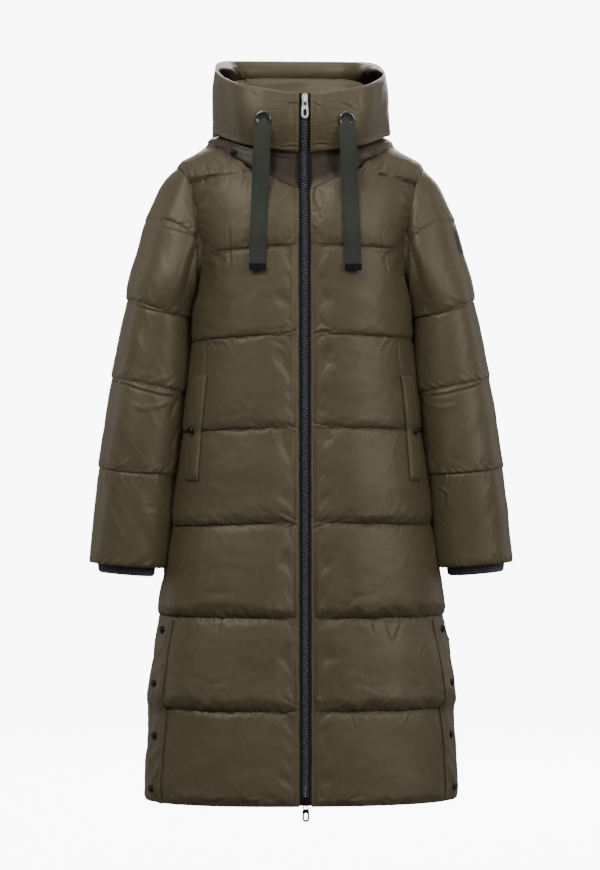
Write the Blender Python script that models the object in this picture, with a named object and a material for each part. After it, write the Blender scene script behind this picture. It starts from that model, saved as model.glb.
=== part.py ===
"""Long quilted puffer coat with a high funnel hood, filled out as a worn coat would be.

Metres, +Z up, -Y is the wearer's front, +X is the wearer's left side.
The origin is the middle of the neck base, where the coat is carried by the shoulders.
Each cut piece is a wall: a plain inside, and an outside raised into quilted channels.
"""
import math

import bpy
from mathutils import Vector
from mathutils.bvhtree import BVHTree

# ---------------------------------------------------------------- driving sizes
WALL = 0.0035                 # cloth and filling at a quilting seam
SEAM_GAP = 0.0003             # clearance between two sewn pieces
HALF_GAP = SEAM_GAP / 2

ZIP_EDGE_X = 0.0095           # front edges stop this far from the centre line
UNDERARM_Z = -0.240

# level rings of the body: height, half width, front depth, back depth, roundness
BODY_RINGS = (
    (-1.058, 0.2535, -0.146, 0.140, 2.5),    # hem
    (-0.906, 0.2500, -0.146, 0.140, 2.5),
    (-0.756, 0.2310, -0.142, 0.137, 2.5),
    (-0.603, 0.2120, -0.137, 0.133, 2.5),
    (-0.449, 0.1920, -0.133, 0.130, 2.6),
    (-0.299, 0.1760, -0.130, 0.128, 2.8),
    (-0.156, 0.1780, -0.126, 0.126, 3.0),
)
CHANNEL_ROWS = (0.0, 0.2, 0.5, 0.8)          # rows inside one quilted channel
CHEST_ROWS = (0.0, 0.21, 0.4126, 0.54, 0.74)  # the third row is the underarm
RING_SAMPLES = 1600           # even, so that one sample is the side seam
FRONT_COLUMNS = 11
NECK_COLUMNS = 5              # front columns that end at the neckline
BACK_COLUMNS = 16
SHOULDER_ROWS = 3

SAG = 0.78                    # below 1 the filling settles to the bottom of its channel
FRONT_PUFF = 0.0165
SIDE_PUFF = 0.0045
BACK_PUFF = 0.0150
ARMHOLE_REACH = 0.079         # how far the armhole runs to the front and the back

# neckline and shoulder points of the wearer's left half (x is mirrored for the right)
FRONT_NECK = ((0.0095, -0.112, -0.065), (0.027, -0.1125, -0.057), (0.047, -0.112, -0.048),
              (0.064, -0.109, -0.042), (0.080, -0.104, -0.038))
YOKE_ARMHOLE = (0.186, -0.062, -0.050)
BACK_YOKE_ARMHOLE = (0.182, 0.068, -0.050)
NECK_POINT = (0.137, 0.000, 0.014)
SHOULDER_POINT = (0.203, 0.004, -0.027)
BACK_YOKE_CENTRE = (0.0, 0.131, -0.045)
BACK_NECK = ((0.137, 0.000, 0.014), (0.128, 0.038, 0.018), (0.108, 0.066, 0.020),
             (0.075, 0.087, 0.021), (0.037, 0.098, 0.021), (0.0, 0.101, 0.021))

# sleeve stations: outer x z, inner x z, middle y, half depth
SLEEVE_STATIONS = (
    (0.284, -0.240, 0.191, -0.272, -0.004, 0.084),
    (0.309, -0.368, 0.199, -0.392, -0.012, 0.079),
    (0.330, -0.515, 0.217, -0.527, -0.022, 0.072),
    (0.344, -0.669, 0.235, -0.678, -0.032, 0.062),
)
CAP_SHARE = (0.42, 0.41, 0.39, 0.35, 0.30, 0.22, 0.16, 0.14, 0.20, 0.30, 0.35)
SLEEVE_PUFF = 0.0120
SLEEVE_INNER_PUFF = 0.0025
SLEEVE_ROUNDNESS = 2.3
UNDERARM_COLUMNS = 4.5        # ring columns each side of the underarm that stay flat
UNDERARM_PUFF = 0.0004
CUFF_SQUEEZE = 0.80           # the knitted cuff against the sleeve end
CUFF_SHOWS = 0.017
CUFF_WALL = 0.0030

# hood: rows from the neck seam to the rim, at eight places from the zip to the back
HOOD_PLACES = (0.0, 0.07, 0.215, 0.40, 0.567, 0.675, 0.82, 1.0)
HOOD_FRONT = (                # seam point, rim point, forward belly
    ((0.0095, -0.1110, -0.0060), (0.0095, -0.1180, 0.0900), 0.006),
    ((0.0350, -0.1100, -0.0040), (0.0400, -0.1175, 0.0925), 0.008),
    ((0.0850, -0.0950, 0.0060), (0.1120, -0.0920, 0.1080), 0.008),
    ((0.1200, -0.0400, 0.0230), (0.1380, -0.0100, 0.1330), 0.004),
    ((0.1230, 0.0200, 0.0330), (0.1385, 0.0640, 0.1530), 0.003),
)
HOOD_BACK = (                 # folded rows: seam, nape fold, pocket bottom, rim
    ((0.106, 0.058, 0.036), (0.113, 0.065, 0.078), (0.119, 0.078, 0.117), (0.125, 0.096, 0.108),
     (0.129, 0.110, 0.055), (0.132, 0.124, 0.010), (0.137, 0.143, -0.004), (0.141, 0.154, 0.024),
     (0.140, 0.156, 0.090), (0.130, 0.147, 0.172)),
    ((0.068, 0.088, 0.039), (0.076, 0.097, 0.092), (0.084, 0.112, 0.133), (0.091, 0.136, 0.116),
     (0.096, 0.155, 0.012), (0.098, 0.167, -0.076), (0.101, 0.190, -0.098), (0.107, 0.214, -0.040),
     (0.104, 0.210, 0.066), (0.089, 0.191, 0.178)),
    ((0.0, 0.101, 0.040), (0.0, 0.110, 0.094), (0.0, 0.126, 0.136), (0.0, 0.151, 0.116),
     (0.0, 0.168, 0.002), (0.0, 0.179, -0.098), (0.0, 0.202, -0.124), (0.0, 0.228, -0.058),
     (0.0, 0.224, 0.062), (0.0, 0.199, 0.179)),
)
HOOD_ROWS = 15
HOOD_PUFF = 0.0170
HOOD_SIDE_PUFF = 0.0105
HOOD_BACK_PUFF = 0.0120
HOOD_PANEL_SEAM = 11          # column of the seam between side piece and middle piece
HOOD_WALL = 0.0040

TAPE_WIDTH = 0.027            # flat draw tape
TAPE_THICK = 0.0016
TAPE_LENGTH_BELOW_EYELET = 0.232
EYELET_X = 0.0675
EYELET_Z = 0.0455
EYELET_OUTER = 0.0140
EYELET_HOLE = 0.0065
EYELET_RIM = 0.0016

ZIP_TAPE_THICK = 0.0014
ZIP_CHAIN_HALF = 0.0032
ZIP_CHAIN_RISE = 0.0022
ZIP_BOTTOM_Z = -1.056
TOP_SLIDER_Z = 0.0800
BOTTOM_SLIDER_Z = -1.0485
SLIDER_WIDTH = 0.0110
SLIDER_HEIGHT = 0.0150
SLIDER_THICK = 0.0026
PULL_WIDTH = 0.0110
PULL_LENGTH = 0.0290
PULL_THICK = 0.0018

POCKET_TOP_Z = -0.366
POCKET_BOTTOM_Z = -0.535
POCKET_TOP_X = 0.165
POCKET_BOTTOM_X = 0.180
POCKET_WIDTH = 0.019          # as seen from the front, where the welt turns to the side
POCKET_SNAP_PLACE = (0.1785, -0.453)
POCKET_SNAP_RADIUS = 0.0070
VENT_SNAP_RADIUS = 0.0062
VENT_SNAP_Z = (-0.778, -0.864, -0.949, -1.034)
VENT_TOP_Z = -0.762
VENT_BOTTOM_Z = -1.054
VENT_TOP_PLACE = (0.2220, -0.071)      # middle of the stiffened strip, in x and y, at its top
VENT_BOTTOM_PLACE = (0.2340, -0.075)
VENT_TURN = math.radians(29.0)         # how far the strip is turned to the front
VENT_PLACKET_WIDTH = 0.042
BADGE_SIZE = (0.017, 0.035)
BADGE_Z = -0.145


# ---------------------------------------------------------------- small helpers
def clear_scene():
    for item in list(bpy.data.objects):
        bpy.data.objects.remove(item, do_unlink=True)


def make_material(name, colour, roughness, metallic=0.0):
    material = bpy.data.materials.new(name)
    material.use_nodes = True
    shader = material.node_tree.nodes["Principled BSDF"]
    shader.inputs["Base Color"].default_value = (*colour, 1.0)
    shader.inputs["Roughness"].default_value = roughness
    shader.inputs["Metallic"].default_value = metallic
    material.diffuse_color = (*colour, 1.0)
    return material


def mix(a, b, t):
    return a + (b - a) * t


def table_value(table, key, column):
    """Read one column of a table of rising keys, with straight runs between the rows."""
    if key <= table[0][0]:
        return table[0][column]
    for low, high in zip(table, table[1:]):
        if key <= high[0]:
            share = (key - low[0]) / (high[0] - low[0])
            return mix(low[column], high[column], share)
    return table[-1][column]


def smooth_curve(points, t):
    """A point on the curve that passes evenly through all the given points."""
    spans = len(points) - 1
    place = min(max(t, 0.0), 1.0) * spans
    index = min(int(place), spans - 1)
    local = place - index
    p1 = points[index]
    p2 = points[index + 1]
    p0 = points[index - 1] if index else p1 * 2 - p2
    p3 = points[index + 2] if index + 2 <= spans else p2 * 2 - p1
    square = local * local
    cube = square * local
    return 0.5 * (p1 * 2 + (p2 - p0) * local + (p0 * 2 - p1 * 5 + p2 * 4 - p3) * square
                  + (p1 * 3 - p0 - p2 * 3 + p3) * cube)


def even_points(points, count):
    """Resample an open run of points at equal spacing, with `count` spaces."""
    lengths = [0.0]
    for a, b in zip(points, points[1:]):
        lengths.append(lengths[-1] + (b - a).length)
    result = []
    index = 0
    for step in range(count + 1):
        target = lengths[-1] * step / count
        while index < len(points) - 2 and lengths[index + 1] < target:
            index += 1
        span = lengths[index + 1] - lengths[index]
        share = (target - lengths[index]) / span if span else 0.0
        result.append(points[index].lerp(points[index + 1], share))
    return result


def mirrored(point, side):
    return Vector((point[0] * side, point[1], point[2]))


def bend(start, control, end, t):
    return start * (1 - t) ** 2 + control * (2 * t * (1 - t)) + end * t * t


def unevenness(a, b):
    """A fixed ripple between about -1 and 1 that keeps repeated puffs from looking alike."""
    return 0.6 * math.sin(5.1 * a + 2.3 * b + 0.7) + 0.4 * math.sin(2.7 * a - 4.9 * b + 1.9)


def puff_shape(t):
    """Height of a filled channel across its width; t is 0 at the seam that it sags towards."""
    return math.sin(math.pi * min(max(t, 0.0), 1.0) ** SAG) ** 0.65


def edge_fade(index, last):
    """Filling is flat on a panel's edge columns and nearly full on the next ones."""
    if index in (0, last):
        return 0.0
    if index in (1, last - 1):
        return 0.82
    return 1.0


# ---------------------------------------------------------------- solids
def signed_volume(points, faces):
    total = 0.0
    for face in faces:
        a = points[face[0]]
        for k in range(1, len(face) - 1):
            total += a.dot(points[face[k]].cross(points[face[k + 1]]))
    return total / 6.0


def add_solid(name, points, faces, material, origin=(0.0, 0.0, 0.0)):
    """One closed mesh object, its faces turned outwards and its points kept about `origin`."""
    if signed_volume(points, faces) < 0:
        faces = [tuple(reversed(face)) for face in faces]
    base = Vector(origin)
    mesh = bpy.data.meshes.new(name)
    mesh.from_pydata([tuple(p - base) for p in points], [], faces)
    mesh.materials.append(material)
    mesh.update()
    mesh.shade_smooth()
    mesh.set_sharp_from_angle(angle=math.radians(50))
    item = bpy.data.objects.new(name, mesh)
    item.location = base
    bpy.context.scene.collection.objects.link(item)
    return item


def grid_normals(grid, present, wrap):
    """Average normal of the quads around each grid point."""
    rows = len(grid)
    columns = len(grid[0])
    normals = [[Vector() for _ in range(columns)] for _ in range(rows)]
    for r in range(rows - 1):
        for c in range(columns if wrap else columns - 1):
            if not present(r, c):
                continue
            d = (c + 1) % columns
            a, b, e, f = grid[r][c], grid[r][d], grid[r + 1][d], grid[r + 1][c]
            normal = (e - a).cross(f - b)
            for rr, cc in ((r, c), (r, d), (r + 1, d), (r + 1, c)):
                normals[rr][cc] += normal
    for row in normals:
        for normal in row:
            if normal.length:
                normal.normalize()
    return normals


def comes_first(a, b):
    """A rule for which end of a seam edge leads, so both pieces at a seam split it alike."""
    for axis in (2, 1, 0):
        if abs(a[axis] - b[axis]) > 0.0012:
            return a[axis] > b[axis]
    return False


def wall_panel(name, material, grid, normals, heights, depth, present=None, wrap=False):
    """Close a grid of points into a wall.

    The outside stands `heights` above the grid along `normals`, the inside lies `depth` below.
    """
    if present is None:
        def present(row, column):
            return True
    rows = len(grid)
    columns = len(grid[0])
    quads = []
    for r in range(rows - 1):
        for c in range(columns if wrap else columns - 1):
            if present(r, c):
                d = (c + 1) % columns
                quads.append(((r, c), (r, d), (r + 1, d), (r + 1, c)))
    used = sorted({key for quad in quads for key in quad})
    number = {key: i for i, key in enumerate(used)}
    outer = [grid[r][c] + normals[r][c] * heights[r][c] for r, c in used]
    inner = [grid[r][c] - normals[r][c] * depth for r, c in used]
    shift = len(used)
    faces = []
    edges = set()
    for quad in quads:
        ids = [number[key] for key in quad]
        faces.append(tuple(ids))
        faces.append(tuple(i + shift for i in reversed(ids)))
        for a, b in zip(ids, ids[1:] + ids[:1]):
            edges.add((a, b))
    for a, b in sorted(edges):
        if (b, a) in edges:
            continue
        if comes_first(outer[a], outer[b]):
            faces += [(b, a, b + shift), (a, a + shift, b + shift)]
        else:
            faces += [(b, a, a + shift), (b, a + shift, b + shift)]
    item = add_solid(name, outer + inner, faces, material)
    skin_faces = [tuple(number[key] for key in quad) for quad in quads]
    return item, BVHTree.FromPolygons([tuple(p) for p in outer], skin_faces)


def loft(name, sections, material, origin=(0.0, 0.0, 0.0)):
    """A closed solid through rings of equal point count, with flat ends."""
    count = len(sections[0])
    points = [p for section in sections for p in section]
    faces = [tuple(reversed(range(count)))]
    for level in range(len(sections) - 1):
        for k in range(count):
            a = level * count + k
            b = level * count + (k + 1) % count
            faces.append((a, b, b + count, a + count))
    last = (len(sections) - 1) * count
    faces.append(tuple(last + k for k in range(count)))
    return add_solid(name, points, faces, material, origin)


def ring_solid(name, sections, material):
    """A closed ring: each section is a loop, and the last section joins the first."""
    count = len(sections[0])
    points = [p for section in sections for p in section]
    total = len(sections)
    faces = []
    for level in range(total):
        following = (level + 1) % total
        for k in range(count):
            n = (k + 1) % count
            faces.append((level * count + k, level * count + n,
                          following * count + n, following * count + k))
    return add_solid(name, points, faces, material)


def tube(name, route, radius, material):
    """A round bar through points that all lie in one upright plane."""
    sections = []
    for index, point in enumerate(route):
        ahead = route[min(index + 1, len(route) - 1)]
        behind = route[max(index - 1, 0)]
        across = (ahead - behind).normalized().cross(Vector((1.0, 0.0, 0.0)))
        sections.append([point + Vector((radius * math.cos(a), 0.0, 0.0))
                         + across * (radius * math.sin(a))
                         for a in (math.pi * k / 4 for k in range(8))])
    return loft(name, sections, material)


def surface_frame(normal, up=Vector((0.0, 0.0, 1.0))):
    """Right and upward directions lying in the surface."""
    right = up.cross(normal).normalized()
    return right, normal.cross(right).normalized()


# ---------------------------------------------------------------- body rings
def ring_point(z, angle):
    """A point of the wearer's left half of the body ring: angle 0 is front, pi is back."""
    half_width = table_value(BODY_RINGS, z, 1)
    front = table_value(BODY_RINGS, z, 2)
    back = table_value(BODY_RINGS, z, 3)
    power = 2.0 / table_value(BODY_RINGS, z, 4)
    half_depth = (back - front) / 2
    middle = (front + back) / 2
    along = math.cos(angle)
    depth = math.copysign(abs(along) ** power, along) * half_depth
    return Vector((half_width * abs(math.sin(angle)) ** power, middle - depth, z))


def armhole_reach(z):
    """How far the armhole edge stands from the side seam at this height."""
    if z <= UNDERARM_Z:
        return 0.0
    top = BODY_RINGS[-1][0]
    share = min((z - UNDERARM_Z) / (top - UNDERARM_Z), 1.0)
    return ARMHOLE_REACH * math.sqrt(share * (2 - share))


def ring_samples(z):
    return [ring_point(z, math.pi * k / RING_SAMPLES) for k in range(RING_SAMPLES + 1)]


def ring_run(z, start_y, end_y, count):
    """Evenly spaced points of the left half ring from one depth to another."""
    run = [p for p in ring_samples(z) if start_y <= p.y <= end_y + 1e-6 and p.x >= ZIP_EDGE_X]
    return even_points(run, count)


def level_rows():
    """Heights of the body rows from the hem to the top level ring, each with its channel place."""
    rows = []
    for index, (low, high) in enumerate(zip(BODY_RINGS, BODY_RINGS[1:])):
        steps = CHEST_ROWS if index == len(BODY_RINGS) - 2 else CHANNEL_ROWS
        for t in steps:
            rows.append((mix(low[0], high[0], t), index, t))
    rows.append((BODY_RINGS[-1][0], len(BODY_RINGS) - 1, 0.0))
    return rows


def front_grid():
    """Grid of the left front, from the hem up; columns run from the zip to the side."""
    grid = []
    places = []
    for z, channel, t in level_rows():
        middle = (table_value(BODY_RINGS, z, 2) + table_value(BODY_RINGS, z, 3)) / 2
        run = ring_run(z, -1.0, middle - armhole_reach(z), FRONT_COLUMNS)
        run[0].x = ZIP_EDGE_X
        grid.append(run)
        places.append((channel, t))
    neck = [Vector(p) for p in FRONT_NECK]
    yoke = [neck[-1], Vector((0.118, -0.098, -0.043)), Vector((0.152, -0.083, -0.047)),
            Vector(YOKE_ARMHOLE)]
    top = even_points(neck, NECK_COLUMNS) + even_points(yoke, FRONT_COLUMNS - NECK_COLUMNS)[1:]
    base = grid[-1]
    for t in (0.2, 0.5, 0.8, 1.0):
        bulge = Vector((0.0, -0.012 * t * (1 - t) * 4 * 0.5, 0.004 * t * (1 - t)))
        grid.append([a.lerp(b, t) + bulge for a, b in zip(base, top)])
        places.append((len(BODY_RINGS) - 1, t))
    places[-1] = (len(BODY_RINGS), 0.0)
    shoulder = even_points([Vector(NECK_POINT), Vector(SHOULDER_POINT)],
                           FRONT_COLUMNS - NECK_COLUMNS)
    for row in range(1, SHOULDER_ROWS + 1):
        t = row / SHOULDER_ROWS
        line = [top[c].copy() for c in range(NECK_COLUMNS)]
        for c, end in enumerate(shoulder):
            start = top[c + NECK_COLUMNS]
            share = c / (FRONT_COLUMNS - NECK_COLUMNS)
            lift = Vector((0.0, mix(-0.030, -0.020, share), mix(0.004, 0.012, share)))
            line.append(bend(start, (start + end) / 2 + lift, end, t))
        grid.append(line)
        places.append((len(BODY_RINGS), t))
    return grid, places


def back_grid():
    """Grid of the back, from the hem up; columns run from the right side to the left side."""
    grid = []
    places = []
    half = BACK_COLUMNS // 2
    for z, channel, t in level_rows():
        middle = (table_value(BODY_RINGS, z, 2) + table_value(BODY_RINGS, z, 3)) / 2
        run = [p for p in ring_samples(z) if p.y >= middle + armhole_reach(z) - 1e-6]
        left = even_points(run, half)
        left[-1].x = 0.0
        grid.append([mirrored(p, -1) for p in left[:-1]] + list(reversed(left)))
        places.append((channel, t))
    end = Vector(BACK_YOKE_ARMHOLE)
    centre = Vector(BACK_YOKE_CENTRE)
    line = [end, Vector((0.152, 0.101, -0.046)), Vector((0.098, 0.122, -0.044)), centre]
    left = even_points(line, half)
    top = [mirrored(p, -1) for p in left[:-1]] + list(reversed(left))
    base = grid[-1]
    for t in (0.2, 0.5, 0.8, 1.0):
        bulge = Vector((0.0, 0.010 * t * (1 - t) * 4 * 0.5, 0.0))
        grid.append([a.lerp(b, t) + bulge for a, b in zip(base, top)])
        places.append((len(BODY_RINGS) - 1, t))
    places[-1] = (len(BODY_RINGS), 0.0)
    shoulder = even_points([Vector(SHOULDER_POINT), Vector(NECK_POINT)], 3)
    neck = [Vector(p) for p in BACK_NECK]
    crown_left = shoulder + even_points(neck, half - 3)[1:]
    crown = [mirrored(p, -1) for p in crown_left[:-1]] + list(reversed(crown_left))
    for row in range(1, SHOULDER_ROWS + 1):
        t = row / SHOULDER_ROWS
        line = []
        for start, stop in zip(top, crown):
            lift = Vector((0.0, 0.016, 0.014))
            line.append(bend(start, (start + stop) / 2 + lift, stop, t))
        grid.append(line)
        places.append((len(BODY_RINGS), t))
    return grid, places


SIDE_SEAM_NORMAL = Vector((1.0, 0.0, 0.0))
SHOULDER_NORMAL = Vector((0.50, 0.0, 0.86)).normalized()


def armhole_loop(front, back):
    """Seam points of the left armhole: over the shoulder, down the front, up the back."""
    rows = [row for row in range(len(front)) if front[row][-1].z >= UNDERARM_Z - 0.0005]
    down = [front[row][-1].copy() for row in reversed(rows)]
    up = [back[row][-1].copy() for row in rows]
    return rows, down + up[1:-1]


def sleeve_station(station, count):
    outer_x, outer_z, inner_x, inner_z, middle_y, half_depth = station
    outer = Vector((outer_x, middle_y, outer_z))
    inner = Vector((inner_x, middle_y, inner_z))
    centre = (outer + inner) / 2
    power = 2.0 / SLEEVE_ROUNDNESS
    ring = []
    for k in range(count):
        angle = 2 * math.pi * k / count
        along = math.copysign(abs(math.cos(angle)) ** power, math.cos(angle))
        across = math.copysign(abs(math.sin(angle)) ** power, math.sin(angle))
        ring.append(centre + (outer - centre) * along + Vector((0.0, -half_depth * across, 0.0)))
    return ring


def sleeve_grid(loop):
    """Rings of the left sleeve from the armhole down, each with its channel place."""
    count = len(loop)
    half = count // 2
    stations = [sleeve_station(station, count) for station in SLEEVE_STATIONS]
    first = stations[0]

    def cap_point(k, share):
        mirror = k if k <= half else count - k
        angle = 2 * math.pi * k / count
        swell = 4 * share * (1 - share)
        push = Vector((0.020 * max(math.cos(angle), 0.0) ** 1.5, -0.012 * math.sin(angle),
                       0.004 * max(math.cos(angle), 0.0)))
        if mirror > half - 4:
            push = Vector((0.0085, 0.0, 0.0))
        return loop[k].lerp(first[k], share) + push * swell

    def cap_share(k):
        return CAP_SHARE[min(k, count - k)]

    grid = []
    places = []
    for t in (0.0, 0.3, 0.65):
        grid.append([cap_point(k, cap_share(k) * t) for k in range(count)])
        places.append((0, t))
    for t in CHANNEL_ROWS:
        grid.append([cap_point(k, mix(cap_share(k), 1.0, t)) for k in range(count)])
        places.append((1, t))
    for index in range(3):
        for t in CHANNEL_ROWS:
            grid.append([a.lerp(b, t) for a, b in zip(stations[index], stations[index + 1])])
            places.append((index + 2, t))
    end = stations[-1]
    grid.append(end)
    places.append((5, 0.0))
    centre = sum(end, Vector()) / count
    tuck = [centre + (p - centre) * (CUFF_SQUEEZE - 0.03) for p in end]
    grid.append(tuck)
    places.append((5, 1.0))
    return grid, places


# ---------------------------------------------------------------- quilted body and sleeves
def front_heights(grid, places):
    last = FRONT_COLUMNS
    table = []
    for row, (channel, t) in enumerate(places):
        line = []
        for column in range(last + 1):
            inside = column / last
            full = mix(FRONT_PUFF, SIDE_PUFF, inside ** 3)
            ripple = 1 + 0.10 * unevenness(channel * 1.7, column * 0.9)
            height = full * ripple * puff_shape(t) * edge_fade(column, last)
            if channel == len(BODY_RINGS) - 2 and column >= last - 1:
                height *= 0.25
            on_yoke = channel == len(BODY_RINGS)
            if on_yoke:
                height = 0.0
                if column > NECK_COLUMNS and column < last:
                    height = 0.010 * puff_shape(t)
            if row >= len(places) - SHOULDER_ROWS - 1 and column <= NECK_COLUMNS:
                height = 0.0
            line.append(height)
        table.append(line)
    return table


def back_heights(places):
    last = BACK_COLUMNS
    table = []
    for channel, t in places:
        line = []
        for column in range(last + 1):
            across = abs(2 * column / last - 1)
            full = mix(BACK_PUFF, SIDE_PUFF, across ** 3)
            if channel == len(BODY_RINGS):
                full = 0.007
            if channel == len(BODY_RINGS) - 2 and across > 0.8:
                full *= 0.25
            ripple = 1 + 0.10 * unevenness(channel * 2.1 + 4, column * 0.7)
            line.append(full * ripple * puff_shape(t) * edge_fade(column, last))
        table.append(line)
    return table


def mitre_armhole(rows, front_normals, back_normals, sleeve_normals):
    """Give body and sleeve one thickness direction where their seam turns outwards."""
    steps = [(front_normals, row) for row in reversed(rows)]
    steps += [(back_normals, row) for row in rows[1:-1]]
    for k, (table, row) in enumerate(steps):
        body = table[row][-1]
        sleeve = sleeve_normals[0][k]
        if sleeve.x > body.x:
            shared = (body + sleeve).normalized()
            table[row][-1] = shared
            sleeve_normals[0][k] = shared.copy()
            if table is front_normals and row == rows[-1]:
                back_normals[row][-1] = shared.copy()


def build_body(cloth):
    """The two fronts and the back; returns their skins and the left sleeve's grid."""
    skins = {}
    front, front_places = front_grid()
    back, back_places = back_grid()
    rows, loop = armhole_loop(front, back)
    sleeve, sleeve_places = sleeve_grid(loop)
    sleeve_normals = grid_normals(sleeve, lambda row, column: True, True)
    if sleeve_normals[8][0].x < 0:
        sleeve_normals = [[-n for n in line] for line in sleeve_normals]
    yoke_start = len(front) - SHOULDER_ROWS - 1

    def has_cloth(row, column):
        return row < yoke_start or column >= NECK_COLUMNS

    front_normals = grid_normals(front, has_cloth, False)
    back_normals = [[-n for n in line]
                    for line in grid_normals(back, lambda row, column: True, False)]
    for row in range(len(front)):
        if front[row][-1].z <= UNDERARM_Z + 0.0005:
            front_normals[row][-1] = SIDE_SEAM_NORMAL.copy()
            back_normals[row][-1] = SIDE_SEAM_NORMAL.copy()
    for column in range(NECK_COLUMNS, FRONT_COLUMNS + 1):
        front_normals[-1][column] = SHOULDER_NORMAL.copy()
    for column in range(BACK_COLUMNS - 3, BACK_COLUMNS + 1):
        back_normals[-1][column] = SHOULDER_NORMAL.copy()
    mitre_armhole(rows, front_normals, back_normals, sleeve_normals)
    for row in range(len(back)):
        for column in range(BACK_COLUMNS // 2):
            back_normals[row][column] = mirrored(back_normals[row][BACK_COLUMNS - column], -1)

    heights = front_heights(front, front_places)
    for side, label in ((-1, "front_right"), (1, "front_left")):
        moved = []
        for row, line in enumerate(front):
            copy = [p.copy() for p in line]
            if line[-1].z >= UNDERARM_Z - 0.0005:
                copy[-1].x -= HALF_GAP
            if line[-1].z <= UNDERARM_Z + 0.0005:
                copy[-1].y -= HALF_GAP
            if row == len(front) - 1:
                for p in copy[NECK_COLUMNS:]:
                    p.y -= HALF_GAP
            moved.append([mirrored(p, side) for p in copy])
        turned = [[mirrored(n, side) for n in line] for line in front_normals]
        _, skins[label] = wall_panel(label, cloth, moved, turned, heights, WALL, has_cloth)

    moved = []
    for row, line in enumerate(back):
        copy = [p.copy() for p in line]
        for end, sign in ((0, -1), (-1, 1)):
            if abs(line[end].z) and line[end].z >= UNDERARM_Z - 0.0005:
                copy[end].x -= HALF_GAP * sign
            if line[end].z <= UNDERARM_Z + 0.0005:
                copy[end].y += HALF_GAP
        if row == len(back) - 1:
            for p in copy[:4] + copy[-4:]:
                p.y += HALF_GAP
        moved.append(copy)
    _, skins["back"] = wall_panel("back", cloth, moved, back_normals, back_heights(back_places),
                                  WALL)
    return skins, front, back, (sleeve, sleeve_places, sleeve_normals)


def build_sleeves(cloth, knit, sleeve):
    skins = {}
    grid, places, normals = sleeve
    count = len(grid[0])
    heights = []
    for channel, t in places:
        line = []
        for k in range(count):
            angle = 2 * math.pi * k / count
            outside = (0.5 + 0.5 * math.cos(angle)) ** 0.7
            full = mix(SLEEVE_INNER_PUFF, SLEEVE_PUFF, outside)
            if channel < 2 and abs(k - count / 2) < UNDERARM_COLUMNS:
                full = UNDERARM_PUFF
            ripple = 1 + 0.10 * unevenness(channel * 1.3 + 9, k * 0.8)
            line.append(full * ripple * puff_shape(1 - t) if channel < 5 else 0.0)
        heights.append(line)
    end = grid[-2]
    middle = sum(end, Vector()) / count
    for side, label in ((-1, "right"), (1, "left")):
        moved = [[mirrored(p, side) for p in line] for line in grid]
        for p in moved[0]:
            p.x += HALF_GAP * side
        turned = [[mirrored(n, side) for n in line] for line in normals]
        _, skins["sleeve_" + label] = wall_panel("sleeve_" + label, cloth, moved, turned, heights,
                                                 WALL, wrap=True)
        cuff = []
        for drop, squeeze in ((0.0, CUFF_SQUEEZE + 0.02), (CUFF_SHOWS / 2, CUFF_SQUEEZE),
                              (CUFF_SHOWS, CUFF_SQUEEZE - 0.03)):
            cuff.append([mirrored(middle + (p - middle) * squeeze
                                  - Vector((0.0, 0.0, drop + SEAM_GAP)), side) for p in end])
        outwards = [[(p - mirrored(middle, side)).normalized() for p in line] for line in cuff]
        for line in outwards:
            for n in line:
                n.z = 0.0
                n.normalize()
        flat = [[0.0] * count for _ in cuff]
        wall_panel("cuff_" + label, knit, cuff, outwards, flat, CUFF_WALL, wrap=True)
    return skins


# ---------------------------------------------------------------- neck band and hood
def hood_profiles():
    """Seam-to-rim runs at each hood place, ten points each."""
    runs = []
    for seam, rim, belly in HOOD_FRONT:
        start = Vector(seam)
        stop = Vector(rim)
        away = Vector((start.x, start.y, 0.0)).normalized()
        runs.append([start.lerp(stop, k / 9) + away * (belly * math.sin(math.pi * k / 9))
                     for k in range(10)])
    runs += [[Vector(p) for p in run] for run in HOOD_BACK]
    return runs


def hood_point(runs, place, t):
    """The hood surface at a place round the neck and a share of the way to the rim."""
    index = 0
    while index < len(HOOD_PLACES) - 2 and place > HOOD_PLACES[index + 1]:
        index += 1
    span = HOOD_PLACES[index + 1] - HOOD_PLACES[index]
    local = (place - HOOD_PLACES[index]) / span
    knots = []
    for near in (index - 1, index, index + 1, index + 2):
        if near < 0:
            knots.append(smooth_curve(runs[0], t))
        elif near >= len(runs):
            knots.append(mirrored(smooth_curve(runs[-2], t), -1))
        else:
            knots.append(smooth_curve(runs[near], t))
    p0, p1, p2, p3 = knots
    before = (p2 - p0) * 0.5
    after = (p3 - p1) * 0.5
    if index == 0:
        before = p2 - p1
    square = local * local
    cube = square * local
    return (p1 * (2 * cube - 3 * square + 1) + before * (cube - 2 * square + local)
            + p2 * (3 * square - 2 * cube) + after * (cube - square))


def neckline_points(front, back):
    """The left half of the neckline, from the zip to the middle of the back."""
    yoke_start = len(front) - SHOULDER_ROWS - 1
    points = [front[yoke_start][c] for c in range(NECK_COLUMNS + 1)]
    points += [front[row][NECK_COLUMNS] for row in range(yoke_start + 1, len(front))]
    half = BACK_COLUMNS // 2
    points += [back[-1][column] for column in range(BACK_COLUMNS - 4, half - 1, -1)]
    return [p.copy() for p in points]


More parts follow.
